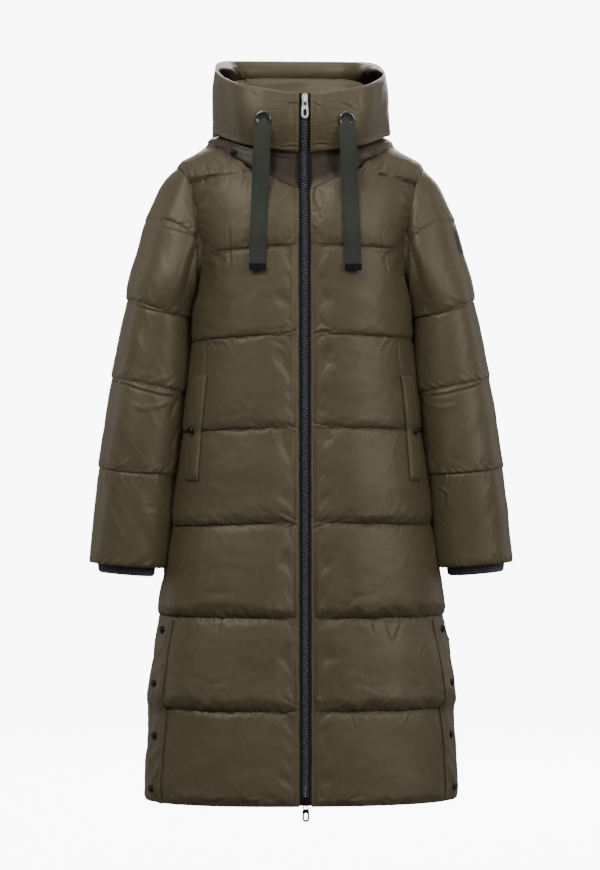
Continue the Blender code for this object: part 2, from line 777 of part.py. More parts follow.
def build_neck(cloth, front, back):
    """The gathered neck band and the three hood pieces, sharing one set of columns."""
    line = neckline_points(front, back)
    lengths = [0.0]
    for a, b in zip(line, line[1:]):
        lengths.append(lengths[-1] + (b - a).length)
    shares = [value / lengths[-1] for value in lengths]
    runs = hood_profiles()
    last = len(line) - 1

    hood = []
    for row in range(HOOD_ROWS + 1):
        t = row / HOOD_ROWS
        half = [hood_point(runs, share, t) for share in shares]
        half[0].x = ZIP_EDGE_X
        half[-1].x = 0.0
        hood.append([mirrored(p, -1) for p in half] + list(reversed(half[:-1])))
    normals = grid_normals(hood, lambda row, column: True, False)
    if normals[3][3].x > 0:
        normals = [[-n for n in row] for row in normals]
    for normal_row in normals:
        for c in range(last):
            normal_row[2 * last - c] = mirrored(normal_row[c], -1)
        normal_row[last].x = 0.0
    seam_out = [Vector((n.x, n.y, 0.0)).normalized() for n in normals[0]]
    normals[0] = [n.copy() for n in seam_out]

    heights = []
    for row in range(HOOD_ROWS + 1):
        t = row / HOOD_ROWS
        level = []
        for c in range(2 * last + 1):
            share = shares[c if c <= last else 2 * last - c]
            front_part = 1 - min(max((share - 0.52) / 0.12, 0.0), 1.0)
            fill = mix(HOOD_PUFF, HOOD_SIDE_PUFF, min(share / 0.4, 1.0)) * puff_shape(t)
            if c in (0, 2 * last):
                fill *= 0.35
            outer_wall = min(max((t - 0.62) / 0.38, 0.0), 1.0)
            rear = HOOD_BACK_PUFF * puff_shape(outer_wall)
            level.append(0.0008 + fill * front_part + rear * (1 - front_part))
        heights.append(level)

    pieces = (("hood_side_right", 0, HOOD_PANEL_SEAM),
              ("hood_middle", HOOD_PANEL_SEAM, 2 * last - HOOD_PANEL_SEAM),
              ("hood_side_left", 2 * last - HOOD_PANEL_SEAM, 2 * last))
    skins = {}
    for name, start, stop in pieces:
        grid = [[p.copy() for p in row[start:stop + 1]] for row in hood]
        turned = [[n.copy() for n in row[start:stop + 1]] for row in normals]
        raised = [list(row[start:stop + 1]) for row in heights]
        for level in raised:
            if start:
                level[0] = min(level[0], 0.0030)
            if stop < 2 * last:
                level[-1] = min(level[-1], 0.0030)
        for row in grid:
            if start:
                row[0] += (row[1] - row[0]).normalized() * HALF_GAP
            if stop < 2 * last:
                row[-1] += (row[-2] - row[-1]).normalized() * HALF_GAP
        for p in grid[0]:
            p.z += HALF_GAP
        _, skins[name] = wall_panel(name, cloth, grid, turned, raised, HOOD_WALL)

    full_line = [mirrored(p, -1) for p in line] + list(reversed(line[:-1]))
    full_line[last].x = 0.0
    band = []
    for t in (0.0, 0.28, 0.62, 1.0):
        row = []
        for c, bottom in enumerate(full_line):
            top = hood[0][c] - Vector((0.0, 0.0, HALF_GAP))
            foot = bottom + Vector((0.0, 0.0, SEAM_GAP))
            gather = math.sin(math.pi * t) * (0.003 + 0.0015 * unevenness(c * 0.8, 7 * t))
            row.append(foot.lerp(top, t) + seam_out[c] * gather)
        band.append(row)
    band_normals = [[n.copy() for n in seam_out] for _ in band]
    flat = [[0.0008 if t == 3 else 0.0 for _ in full_line] for t in range(4)]
    _, skins["neck_band"] = wall_panel("neck_band", cloth, band, band_normals, flat, WALL)
    return skins, hood, band


# ---------------------------------------------------------------- zip
def zip_line(front, band, hood):
    """Depth of the zip along its height, from the hem to the top of the funnel."""
    yoke_start = len(front) - SHOULDER_ROWS - 1
    points = [front[row][0] for row in range(0, yoke_start + 1, 2)]
    points += [front[yoke_start][0]] if yoke_start % 2 else []
    points += [mirrored(row[0], 1) for row in band[1:3]]
    points += [mirrored(hood[row][0], 1) for row in range(0, HOOD_ROWS + 1, 3)]
    return [(p.z, p.y) for p in points]


def line_depth(line, z):
    return table_value(line, z, 1)


def build_zip(fabric, teeth, steel, dark, line):
    top_z = line[-1][0] - 0.0015
    heights = [ZIP_BOTTOM_Z] + [z for z, _ in line if ZIP_BOTTOM_Z + 0.01 < z < top_z - 0.01]
    heights.append(top_z)
    half = ZIP_EDGE_X - SEAM_GAP
    for side, label in ((-1, "zip_tape_right"), (1, "zip_tape_left")):
        sections = []
        for z in heights:
            y = line_depth(line, z)
            profile = ((half, 0.0), (half, -ZIP_TAPE_THICK), (ZIP_CHAIN_HALF, -ZIP_TAPE_THICK),
                       (ZIP_CHAIN_HALF, -ZIP_TAPE_THICK - ZIP_CHAIN_RISE),
                       (HALF_GAP, -ZIP_TAPE_THICK - ZIP_CHAIN_RISE), (HALF_GAP, 0.0))
            sections.append([Vector((x * side, y + depth, z)) for x, depth in profile])
        loft(label, sections, fabric)
    chain_face = ZIP_TAPE_THICK + ZIP_CHAIN_RISE + SEAM_GAP
    for name, pull_name, z, metal, flip in (
            ("slider_top", "pull_top", TOP_SLIDER_Z, steel, 1),
            ("slider_bottom", "pull_bottom", BOTTOM_SLIDER_Z, dark, -1)):
        ends = (z - SLIDER_HEIGHT / 2, z, z + SLIDER_HEIGHT / 2)
        face = min(line_depth(line, level) for level in ends) - chain_face
        hinge = slider(name, metal, z, face, flip)
        zip_pull(pull_name, metal, hinge)


def slider(name, metal, z, face, flip):
    """The front plate of a slider with its bail; returns the pull's hinge point."""
    outline = []
    for k in range(20):
        angle = 2 * math.pi * k / 20
        x = SLIDER_WIDTH / 2 * math.copysign(abs(math.cos(angle)) ** 0.55, math.cos(angle))
        up = SLIDER_HEIGHT / 2 * math.copysign(abs(math.sin(angle)) ** 0.75, math.sin(angle))
        narrow = 1 - 0.22 * (0.5 - flip * up / SLIDER_HEIGHT)
        outline.append((x * narrow, up))
    back = [Vector((x, face, z + up)) for x, up in outline]
    front = [Vector((x * 0.9, face - SLIDER_THICK, z + up * 0.93)) for x, up in outline]
    mid = [Vector((x, face - SLIDER_THICK * 0.6, z + up)) for x, up in outline]
    plate = loft(name, [back, mid, front], metal)
    hinge = Vector((0.0, face - SLIDER_THICK - 0.0022, z - 0.0035))
    reach = 0.0050
    crest = hinge.y - 0.0026
    route = [(face - SLIDER_THICK + 0.0006, reach), (crest + 0.0007, reach * 0.78),
             (crest, reach * 0.35), (crest, -reach * 0.35), (crest + 0.0007, -reach * 0.78),
             (face - SLIDER_THICK + 0.0006, -reach)]
    loop = tube(name + "_bail", [Vector((0.0, y, hinge.z + up)) for y, up in route], 0.0009, metal)
    loop.hide_render = True
    loop.display_type = "WIRE"
    union = plate.modifiers.new("bail", "BOOLEAN")
    union.operation = "UNION"
    union.solver = "EXACT"
    union.object = loop
    return hinge


def zip_pull(name, metal, hinge):
    """A tab that hangs from the slider's bail, with a long eye above a rounded tongue."""
    eye_half = 0.0028
    outer = []
    top = 0.0012              # the bar over the eye turns clear of the slider's face
    for x, z in ((-0.0040, top), (0.0040, top), (0.0046, -0.0040), (0.0046, -0.0100),
                 (PULL_WIDTH / 2, -0.0120), (PULL_WIDTH / 2, -0.0240)):
        outer.append((x, z))
    for k in range(1, 6):
        angle = math.pi * k / 6
        outer.append((PULL_WIDTH / 2 * math.cos(angle), -0.0240 - 0.0050 * math.sin(angle)))
    outer += [(-PULL_WIDTH / 2, -0.0240), (-PULL_WIDTH / 2, -0.0120), (-0.0046, -0.0100),
              (-0.0046, -0.0040)]
    shape = [Vector((x, hinge.y - PULL_THICK / 2, hinge.z + z)) for x, z in reversed(outer)]
    rear = [p + Vector((0.0, PULL_THICK, 0.0)) for p in shape]
    body = loft(name, [shape, rear], metal, hinge)
    for label, low, high, half in (("eye", -0.0085, -0.0003, eye_half),
                                   ("hole", -0.0255, -0.0145, 0.0028)):
        ring = []
        for k in range(10):
            angle = 2 * math.pi * k / 10
            x = half * math.copysign(abs(math.cos(angle)) ** 0.5, math.cos(angle))
            z = (high - low) / 2 * math.copysign(abs(math.sin(angle)) ** 0.6, math.sin(angle))
            ring.append(Vector((x, hinge.y, hinge.z + (high + low) / 2 + z)))
        near = [p - Vector((0.0, 0.004, 0.0)) for p in ring]
        far = [p + Vector((0.0, 0.004, 0.0)) for p in ring]
        cutter = loft(name + "_" + label, [near, far], metal)
        cutter.hide_render = True
        cutter.display_type = "WIRE"
        cut = body.modifiers.new(label, "BOOLEAN")
        cut.operation = "DIFFERENCE"
        cut.solver = "EXACT"
        cut.object = cutter


# ---------------------------------------------------------------- trim that lies on a panel
def land(skin, start, direction):
    """Where a ray meets a panel's outside, with the panel's direction there."""
    place, normal, _, _ = skin.ray_cast(start, direction)
    if normal.dot(direction) > 0:
        normal = -normal
    return place, normal


def disc_solid(name, centre, normal, radius, thick, material, hole=0.0):
    right, up = surface_frame(normal)
    sections = []
    count = 18
    for k in range(count):
        angle = 2 * math.pi * k / count
        away = right * math.cos(angle) + up * math.sin(angle)
        if hole:
            loop = [(hole, 0.0), (hole, thick), ((hole + radius) / 2, thick * 1.35),
                    (radius - 0.0008, thick), (radius, 0.0)]
            sections.append([centre + away * r + normal * h for r, h in loop])
        else:
            sections.append(away)
    if hole:
        return ring_solid(name, sections, material)
    rings = []
    for share, height in ((1.0, 0.0), (1.0, thick * 0.6), (0.72, thick)):
        rings.append([centre + away * (radius * share) + normal * height for away in sections])
    return loft(name, rings, material)


def strip_on_skin(name, skin, path, spread, lift, thick, material, direction):
    """A band that follows a panel's outside; the path is its centre line, `spread` its width."""
    grid = []
    normals = []
    for start in path:
        line = []
        turned = []
        for k in range(5):
            place, normal = land(skin, start + spread * (k / 4 - 0.5), direction)
            line.append(place)
            turned.append(normal)
        grid.append(line)
        normals.append(turned)
    average = grid_normals(grid, lambda row, column: True, False)
    for row, line in enumerate(average):
        for column, normal in enumerate(line):
            if normal.dot(normals[row][column]) < 0:
                line[column] = -normal
    lifted = [[p + n * lift for p, n in zip(*pair)] for pair in zip(grid, average)]
    heights = [[thick] * 5 for _ in grid]
    _, top = wall_panel(name, material, lifted, average, heights, 0.0)
    return top


def vent_start(z, side, inward):
    """A point outside the coat from which a ray along `inward` meets the vent strip's middle."""
    t = (z - VENT_TOP_Z) / (VENT_BOTTOM_Z - VENT_TOP_Z)
    x = mix(VENT_TOP_PLACE[0], VENT_BOTTOM_PLACE[0], t)
    y = mix(VENT_TOP_PLACE[1], VENT_BOTTOM_PLACE[1], t)
    return Vector((x * side, y, z)) - inward * 0.15


def build_trim(cloth, dark, skins):
    forward = Vector((0.0, 1.0, 0.0))
    for side, label in ((-1, "right"), (1, "left")):
        skin = skins["front_" + label]
        snap_x, snap_z = POCKET_SNAP_PLACE
        path = []
        for k in range(9):
            t = k / 8
            z = mix(POCKET_TOP_Z, POCKET_BOTTOM_Z, t)
            x = mix(POCKET_TOP_X, POCKET_BOTTOM_X, t ** 0.8)
            path.append(Vector((x * side, -0.4, z)))
        welt = strip_on_skin("pocket_welt_" + label, skin, path, Vector((POCKET_WIDTH, 0.0, 0.0)),
                             0.0027, 0.0030, cloth, forward)
        place, normal = land(welt, Vector((snap_x * side, -0.4, snap_z)), forward)
        disc_solid("pocket_snap_" + label, place + normal * 0.0036, normal, POCKET_SNAP_RADIUS,
                   0.0028, dark)
        inward = Vector((-side * math.cos(VENT_TURN), math.sin(VENT_TURN), 0.0))
        across = Vector((side * math.sin(VENT_TURN), math.cos(VENT_TURN), 0.0))
        path = []
        for k in range(11):
            path.append(vent_start(mix(VENT_TOP_Z, VENT_BOTTOM_Z, k / 10), side, inward))
        placket = strip_on_skin("vent_placket_" + label, skin, path, across * VENT_PLACKET_WIDTH,
                                0.0022, 0.0018, cloth, inward)
        for number, z in enumerate(VENT_SNAP_Z, start=1):
            place, normal = land(placket, vent_start(z, side, inward), inward)
            disc_solid(f"vent_snap_{label}_{number}", place + normal * 0.0007, normal,
                       VENT_SNAP_RADIUS, 0.0026, dark)
    place, normal = land(skins["neck_band"], Vector((-0.112, -0.3, 0.000)), forward)
    disc_solid("neck_snap", place + normal * 0.0006, normal, 0.0055, 0.0022, dark)


def build_badge(material, skin):
    """A small plain patch on the wearer's left upper sleeve."""
    direction = Vector((-0.80, 0.60, 0.0)).normalized()
    grid = []
    for row in range(4):
        line = []
        for column in range(4):
            across = (column / 3 - 0.5) * BADGE_SIZE[0]
            down = (0.5 - row / 3) * BADGE_SIZE[1]
            shift = Vector((0.60, 0.80, 0.0)).normalized() * across
            start = Vector((0.262, -0.052, BADGE_Z + down)) + shift - direction * 0.2
            place, _ = land(skin, start, direction)
            line.append(place)
        grid.append(line)
    normals = grid_normals(grid, lambda row, column: True, False)
    normals = [[n if n.dot(direction) < 0 else -n for n in line] for line in normals]
    lifted = [[p + n * 0.0011 for p, n in zip(*pair)] for pair in zip(grid, normals)]
    wall_panel("sleeve_badge", material, lifted, normals, [[0.0016] * 4 for _ in grid], 0.0)


def build_eyelets_and_tapes(metal, webbing, tip_material, skins):
    forward = Vector((0.0, 1.0, 0.0))
    for side, label in ((-1, "right"), (1, "left")):
        skin = skins["hood_side_" + label]
        place, normal = land(skin, Vector((EYELET_X * side, -0.4, EYELET_Z)), forward)
        disc_solid("eyelet_" + label, place + normal * 0.0009, normal, EYELET_OUTER, EYELET_RIM,
                   metal, hole=EYELET_HOLE)
        mouth = place + normal * 0.0020
        front = mouth.y - 0.0062
        route = [mouth + Vector((0.0, 0.0, -0.0010)),
                 mouth + Vector((0.0, -0.0035, -0.0035)),
                 Vector((mouth.x, front, mouth.z - 0.010)),
                 Vector((mouth.x + 0.001 * side, front - 0.0030, mouth.z - 0.022)),
                 Vector((mouth.x + 0.002 * side, front - 0.0040, mouth.z - 0.050)),
                 Vector((mouth.x + 0.004 * side, front - 0.0020, mouth.z - 0.090)),
                 Vector((mouth.x + 0.006 * side, front - 0.0010, mouth.z - 0.140)),
                 Vector((mouth.x + 0.008 * side, front - 0.0020, mouth.z - 0.190)),
                 Vector((mouth.x + 0.009 * side, front - 0.0030,
                         mouth.z - TAPE_LENGTH_BELOW_EYELET))]
        widths = (0.0084, 0.0100, 0.0210, 0.0262, TAPE_WIDTH, TAPE_WIDTH, TAPE_WIDTH, TAPE_WIDTH,
                  TAPE_WIDTH)
        sections = []
        steps = 20
        for k in range(steps + 1):
            t = k / steps
            centre = smooth_curve(route, t)
            ahead = smooth_curve(route, min(t + 0.02, 1.0))
            behind = smooth_curve(route, max(t - 0.02, 0.0))
            run = (ahead - behind).normalized()
            place_in = t * (len(widths) - 1)
            index = min(int(place_in), len(widths) - 2)
            width = mix(widths[index], widths[index + 1], place_in - index)
            face = Vector((1.0, 0.0, 0.0)).cross(run).normalized()
            across = run.cross(face).normalized()
            sections.append([centre + across * (width / 2 * sx) + face * (TAPE_THICK / 2 * sy)
                             for sx, sy in ((-1, -1), (1, -1), (1, 1), (-1, 1))])
        loft("draw_tape_" + label, sections, webbing)
        foot = route[-1]
        tip = []
        for drop, grow in ((0.0, 1.0), (0.0110, 1.0)):
            tip.append([foot + Vector((TAPE_WIDTH / 2 * 1.02 * sx, 0.0012 * sy * grow,
                                       -SEAM_GAP - 0.0004 - drop))
                        for sx, sy in ((-1, -1), (1, -1), (1, 1), (-1, 1))])
        loft("tape_tip_" + label, tip, tip_material)


# ---------------------------------------------------------------- assembly
def build_coat():
    clear_scene()
    cloth = make_material("olive nylon", (0.105, 0.082, 0.050), 0.38)
    knit = make_material("black rib knit", (0.012, 0.012, 0.012), 0.85)
    zip_cloth = make_material("black zip tape", (0.010, 0.010, 0.010), 0.55)
    dark = make_material("black coated metal", (0.012, 0.012, 0.013), 0.35, 0.6)
    steel = make_material("polished steel", (0.55, 0.55, 0.56), 0.25, 1.0)
    webbing = make_material("grey green webbing", (0.045, 0.047, 0.040), 0.75)
    tip_material = make_material("black tape end", (0.008, 0.008, 0.008), 0.45)
    badge = make_material("dark plain patch", (0.030, 0.028, 0.024), 0.6)

    skins, front, back, sleeve = build_body(cloth)
    skins.update(build_sleeves(cloth, knit, sleeve))
    neck_skins, hood, band = build_neck(cloth, front, back)
    skins.update(neck_skins)
    build_zip(zip_cloth, dark, steel, dark, zip_line(front, band, hood))
    build_trim(cloth, dark, skins)
    build_badge(badge, skins["sleeve_left"])
    build_eyelets_and_tapes(dark, webbing, tip_material, skins)


build_coat()
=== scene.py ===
"""Looks of the long quilted puffer coat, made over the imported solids.

The cut pieces are the same named surfaces as in the source, at a fine spacing. Each padded
piece is blown up as cloth between its quilting seams, then gets its puckers, its creases, its
inside and its stitches. Metres, +Z up, -Y is the wearer's front, +X is the wearer's left.
"""
import math

import bpy
import numpy as np
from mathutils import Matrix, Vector
from mathutils.bvhtree import BVHTree


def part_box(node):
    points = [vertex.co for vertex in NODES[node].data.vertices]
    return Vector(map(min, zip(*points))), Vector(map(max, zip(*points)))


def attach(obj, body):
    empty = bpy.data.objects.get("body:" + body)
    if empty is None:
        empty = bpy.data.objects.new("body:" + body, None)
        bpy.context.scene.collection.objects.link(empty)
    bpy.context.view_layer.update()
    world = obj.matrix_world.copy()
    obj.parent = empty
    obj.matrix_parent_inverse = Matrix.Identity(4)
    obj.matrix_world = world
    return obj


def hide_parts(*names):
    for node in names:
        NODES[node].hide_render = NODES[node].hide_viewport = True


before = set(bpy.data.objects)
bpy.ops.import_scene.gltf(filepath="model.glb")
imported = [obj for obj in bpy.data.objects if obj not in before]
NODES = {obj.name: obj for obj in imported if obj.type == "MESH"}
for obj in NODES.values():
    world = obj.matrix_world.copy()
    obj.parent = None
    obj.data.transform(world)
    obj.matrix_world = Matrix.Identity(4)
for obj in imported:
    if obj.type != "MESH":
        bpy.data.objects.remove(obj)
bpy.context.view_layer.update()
COAT = "coat"
SIDES = ((-1, "right"), (1, "left"))

# ---------------------------------------------------------------- sizes shared with the source
ZIP_EDGE_X = 0.0095
SEAM_GAP = 0.0003
UNDERARM_Z = -0.240
SLACK = 5e-4                  # how near to a height still counts as on it
# height, half width, front, back and squareness of the body where its seams are
BODY_RINGS = np.array((
    (-1.058, 0.2535, -0.146, 0.140, 2.5), (-0.906, 0.2500, -0.146, 0.140, 2.5),
    (-0.756, 0.2310, -0.142, 0.137, 2.5), (-0.603, 0.2120, -0.137, 0.133, 2.5),
    (-0.449, 0.1920, -0.133, 0.130, 2.6), (-0.299, 0.1760, -0.130, 0.128, 2.8),
    (-0.156, 0.1780, -0.126, 0.126, 3.0)))
CAD_CHANNEL = (0.0, 0.2, 0.5, 0.8)
CAD_CHEST = (0.0, 0.21, 0.4126, 0.54, 0.74)
CAD_YOKE = (0.2, 0.5, 0.8, 1.0)
ARMHOLE_REACH = 0.079
SAG = 0.78
CHEST, YOKE, TOP = 5, 6, 7    # channels counted upwards from the hem, where they differ
# columns of the solids: at the neck and at the yoke of a front, and of half the back
NECK_COLUMNS, YOKE_COLUMNS = 5, 6
BACK_NECK_COLUMNS, BACK_YOKE_COLUMNS = 5, 3
FRONT_COLUMNS = NECK_COLUMNS + YOKE_COLUMNS
BACK_COLUMNS = BACK_NECK_COLUMNS + BACK_YOKE_COLUMNS
ARM_POINTS = 20               # points of the solids round an armhole
FRONT_NECK = ((0.0095, -0.112, -0.065), (0.027, -0.1125, -0.057), (0.047, -0.112, -0.048),
              (0.064, -0.109, -0.042), (0.080, -0.104, -0.038))
FRONT_YOKE = ((0.080, -0.104, -0.038), (0.118, -0.098, -0.043), (0.152, -0.083, -0.047),
              (0.186, -0.062, -0.050))
SHOULDER = ((0.137, 0.000, 0.014), (0.203, 0.004, -0.027))
BACK_YOKE = ((0.182, 0.068, -0.050), (0.152, 0.101, -0.046), (0.098, 0.122, -0.044),
             (0.0, 0.131, -0.045))
BACK_NECK = ((0.137, 0.000, 0.014), (0.128, 0.038, 0.018), (0.108, 0.066, 0.020),
             (0.075, 0.087, 0.021), (0.037, 0.098, 0.021), (0.0, 0.101, 0.021))
# outer x and z, inner x and z, y and half depth of each quilting ring of a sleeve
SLEEVE_STATIONS = (
    (0.284, -0.240, 0.191, -0.272, -0.004, 0.084), (0.309, -0.368, 0.199, -0.392, -0.012, 0.079),
    (0.330, -0.515, 0.217, -0.527, -0.022, 0.072), (0.344, -0.669, 0.235, -0.678, -0.032, 0.062))
CAP_SHARE = (0.42, 0.41, 0.39, 0.35, 0.30, 0.22, 0.16, 0.14, 0.20, 0.30, 0.35)
SLEEVE_ROUNDNESS = 2.3
SLEEVE_END = 5                # number of the sleeve's last seam, counted from the armhole
HOOD_PLACES = (0.0, 0.07, 0.215, 0.40, 0.567, 0.675, 0.82, 1.0)
HOOD_FRONT = (
    ((0.0095, -0.1110, -0.0060), (0.0095, -0.1180, 0.0900), 0.006),
    ((0.0350, -0.1100, -0.0040), (0.0400, -0.1175, 0.0925), 0.008),
    ((0.0850, -0.0950, 0.0060), (0.1120, -0.0920, 0.1080), 0.008),
    ((0.1200, -0.0400, 0.0230), (0.1380, -0.0100, 0.1330), 0.004),
    ((0.1230, 0.0200, 0.0330), (0.1385, 0.0640, 0.1530), 0.003))
HOOD_BACK = (
    ((0.106, 0.058, 0.036), (0.113, 0.065, 0.078), (0.119, 0.078, 0.117), (0.125, 0.096, 0.108),
     (0.129, 0.110, 0.055), (0.132, 0.124, 0.010), (0.137, 0.143, -0.004), (0.141, 0.154, 0.024),
     (0.140, 0.156, 0.090), (0.130, 0.147, 0.172)),
    ((0.068, 0.088, 0.039), (0.076, 0.097, 0.092), (0.084, 0.112, 0.133), (0.091, 0.136, 0.116),
     (0.096, 0.155, 0.012), (0.098, 0.167, -0.076), (0.101, 0.190, -0.098), (0.107, 0.214, -0.040),
     (0.104, 0.210, 0.066), (0.089, 0.191, 0.178)),
    ((0.0, 0.101, 0.040), (0.0, 0.110, 0.094), (0.0, 0.126, 0.136), (0.0, 0.151, 0.116),
     (0.0, 0.168, 0.002), (0.0, 0.179, -0.098), (0.0, 0.202, -0.124), (0.0, 0.228, -0.058),
     (0.0, 0.224, 0.062), (0.0, 0.199, 0.179)))
HOOD_CAD_ROWS = 15
HOOD_SEAM_COLUMN = 11         # of the 26 columns round the neck
TAPE_WIDTH = 0.027
CAMERA_DISTANCE = 5.0
CAMERA_HEIGHT = -0.462
CAMERA_TURN = math.radians(3.2)
CAMERA_SHIFT = -0.0008
CAMERA_LENS = 125.4
CAMERA_SENSOR = 36.0
PICTURE_WIDTH, PICTURE_HEIGHT = 600, 870
COAT_MIDDLE = 299.5           # across the picture
PLACE_SIZE = 1.65             # millimetres to a picture place, at the coat's middle depth
AHEAD = -0.4                  # a place in front of the whole coat, to look back at it from
FROM_FRONT = (0, 1, 0)

# ---------------------------------------------------------------- fineness
FINE = 16                     # fine columns of the fronts for each column of the solids
BACK_FINE = HOOD_FINE = 9
CHANNEL_STEPS = 48
YOKE_STEPS = 34
SHOULDER_STEPS = 24
SLEEVE_RING = 200
RING_POINTS = 1601            # of half a body ring, before its points are set at equal spacing
ZIP_STEPS = 380
BAND_ROWS = 22
NOISE_CELLS = (97, 89)
CREASE_ANGLE = math.radians(62)


# ---------------------------------------------------------------- numbers and noise
def mix(a, b, t):
    return a + (b - a) * t


def step(low, high, value):
    """0 below `low`, 1 above `high`, smooth between."""
    t = np.clip((value - low) / (high - low), 0.0, 1.0)
    return t * t * (3 - 2 * t)


def lattice(seed, x, y):
    """Smooth noise from -1 to 1 over arrays of places, one cell wide for each unit."""
    table = np.random.default_rng(seed).uniform(-1.0, 1.0, NOISE_CELLS)
    wide, high = NOISE_CELLS
    cx, cy = np.floor(x).astype(int), np.floor(y).astype(int)
    fx, fy = x - cx, y - cy
    fx, fy = fx * fx * (3 - 2 * fx), fy * fy * (3 - 2 * fy)
    a, b = table[cx % wide, cy % high], table[(cx + 1) % wide, cy % high]
    c, d = table[cx % wide, (cy + 1) % high], table[(cx + 1) % wide, (cy + 1) % high]
    return mix(mix(a, b, fx), mix(c, d, fx), fy)


def puff(t):
    """Height of a filled channel; t is 0 at the seam that it sags towards."""
    return np.sin(np.pi * np.clip(t, 0, 1) ** SAG) ** 0.65


def run_of(points):
    """Length along a run of points, at each point."""
    return np.r_[0.0, np.cumsum(np.linalg.norm(np.diff(points, axis=0), axis=1))]


def along_run(place, run, points):
    """The point or points at one or more lengths along a run."""
    return np.stack([np.interp(place, run, points[:, i]) for i in range(3)], -1)


def even(points, count):
    """Points at equal spacing along a run of points, `count` spaces."""
    points = np.asarray(points, float)
    run = run_of(points)
    return along_run(np.linspace(0.0, run[-1], count + 1), run, points)


def bend(start, lift, stop, t):
    """A place on the arc from start to stop that is drawn aside by `lift`."""
    control = (start + stop) / 2 + lift
    return start * (1 - t) ** 2 + control * (2 * t * (1 - t)) + stop * t * t


def flip(points, side):
    """Left side points on the left (side 1) or the right (side -1)."""
    return points * np.array((side, 1.0, 1.0))


def unit(v):
    return v / np.maximum(np.linalg.norm(v, axis=-1, keepdims=True), 1e-12)


def normals_of(grid, mask=None, wrap=False):
    """Normals at the points of a grid (rows, columns, 3), from the quads round each point."""
    ahead = np.roll(grid, -1, axis=1)
    a, b = grid[:-1], ahead[:-1]
    d, c = grid[1:], ahead[1:]
    if not wrap:
        a, b, c, d = a[:, :-1], b[:, :-1], c[:, :-1], d[:, :-1]
    cross = np.cross(c - a, d - b)
    if mask is not None:
        cross = cross * mask[..., None]
    total = np.zeros_like(grid)
    width = cross.shape[1]
    total[:-1, :width] += cross
    total[1:, :width] += cross
    if wrap:
        total[:-1] += np.roll(cross, 1, axis=1)
        total[1:] += np.roll(cross, 1, axis=1)
    else:
        total[:-1, 1:] += cross
        total[1:, 1:] += cross
    return unit(total)


def outward(normals, row, column, axis, sign):
    """Turn all normals over if the one at a row and column points the wrong way along an axis."""
    return normals if normals[row, column, axis] * sign >= 0 else -normals


def blur(grid, times):
    """Even out inner points with their neighbours; the border stays."""
    for _ in range(times):
        mean = grid.copy()
        rows = (grid[:-2] + grid[2:]) * 0.25
        columns = (grid[:, :-2] + grid[:, 2:]) * 0.25
        mean[1:-1, 1:-1] = rows[:, 1:-1] + columns[1:-1]
        grid = mix(grid, mean, 0.7)
    return grid


def by_side(table, z, x):
    """Read a table of (height, value on the right, value on the left) on the side that x is on."""
    knots = np.array(table)
    return np.where(x < 0, np.interp(z, knots[:, 0], knots[:, 1]),
                    np.interp(z, knots[:, 0], knots[:, 2]))


# ---------------------------------------------------------------- materials
def nodes_of(name):
    """A new material with its node tree, its shader and its places on the object."""
    material = bpy.data.materials.new(name)
    material.use_nodes = True
    tree = material.node_tree
    place = put(tree, "ShaderNodeTexCoord").outputs["Object"]
    return material, tree, tree.nodes["Principled BSDF"], place


def put(tree, kind, **values):
    """Add a node and set its sockets by name."""
    node = tree.nodes.new(kind)
    for key, value in values.items():
        if key in node.inputs:
            node.inputs[key].default_value = value
        else:
            setattr(node, key, value)
    return node


def noise(tree, place, scale, detail=2.0, distortion=0.0):
    node = put(tree, "ShaderNodeTexNoise", Scale=scale, Detail=detail, Distortion=distortion)
    tree.links.new(place, node.inputs["Vector"])
    return node.outputs["Fac"]


def wave(tree, place, scale, direction, distortion=0.0):
    node = put(tree, "ShaderNodeTexWave", Scale=scale, Distortion=distortion,
               bands_direction=direction)
    tree.links.new(place, node.inputs["Vector"])
    return node.outputs["Fac"]


def maths(tree, operation, a, b):
    node = tree.nodes.new("ShaderNodeMath")
    node.operation = operation
    for socket, value in zip(node.inputs, (a, b)):
        if isinstance(value, (int, float)):
            socket.default_value = value
        else:
            tree.links.new(value, socket)
    return node.outputs[0]


def blend(tree, a, b, share):
    """`share` of a with the rest of b."""
    return maths(tree, "ADD", maths(tree, "MULTIPLY", a, share), maths(tree, "MULTIPLY", b, 1 - share))


def ramp(tree, factor, stops):
    node = tree.nodes.new("ShaderNodeValToRGB")
    while len(node.color_ramp.elements) < len(stops):
        node.color_ramp.elements.new(0.5)
    for element, (place, colour) in zip(node.color_ramp.elements, stops):
        element.position = place
        element.color = (*colour, 1.0)
    tree.links.new(factor, node.inputs["Fac"])
    return node.outputs["Color"]


def settle(shader, **values):
    """Set a shader's sockets; an underscore stands for a space in their names."""
    for name, value in values.items():
        shader.inputs[name.replace("_", " ")].default_value = value


def vary_roughness(tree, shader, factor, low, high):
    spread = put(tree, "ShaderNodeMapRange", **{"To Min": low, "To Max": high})
    tree.links.new(factor, spread.inputs["Value"])
    tree.links.new(spread.outputs["Result"], shader.inputs["Roughness"])


def bumps(tree, shader, layers):
    """Chain of bump nodes: (height, distance in metres, strength)."""
    last = None
    for height, distance, strength in layers:
        node = put(tree, "ShaderNodeBump", Distance=distance, Strength=strength)
        tree.links.new(height, node.inputs["Height"])
        if last is not None:
            tree.links.new(last, node.inputs["Normal"])
        last = node.outputs["Normal"]
    tree.links.new(last, shader.inputs["Normal"])


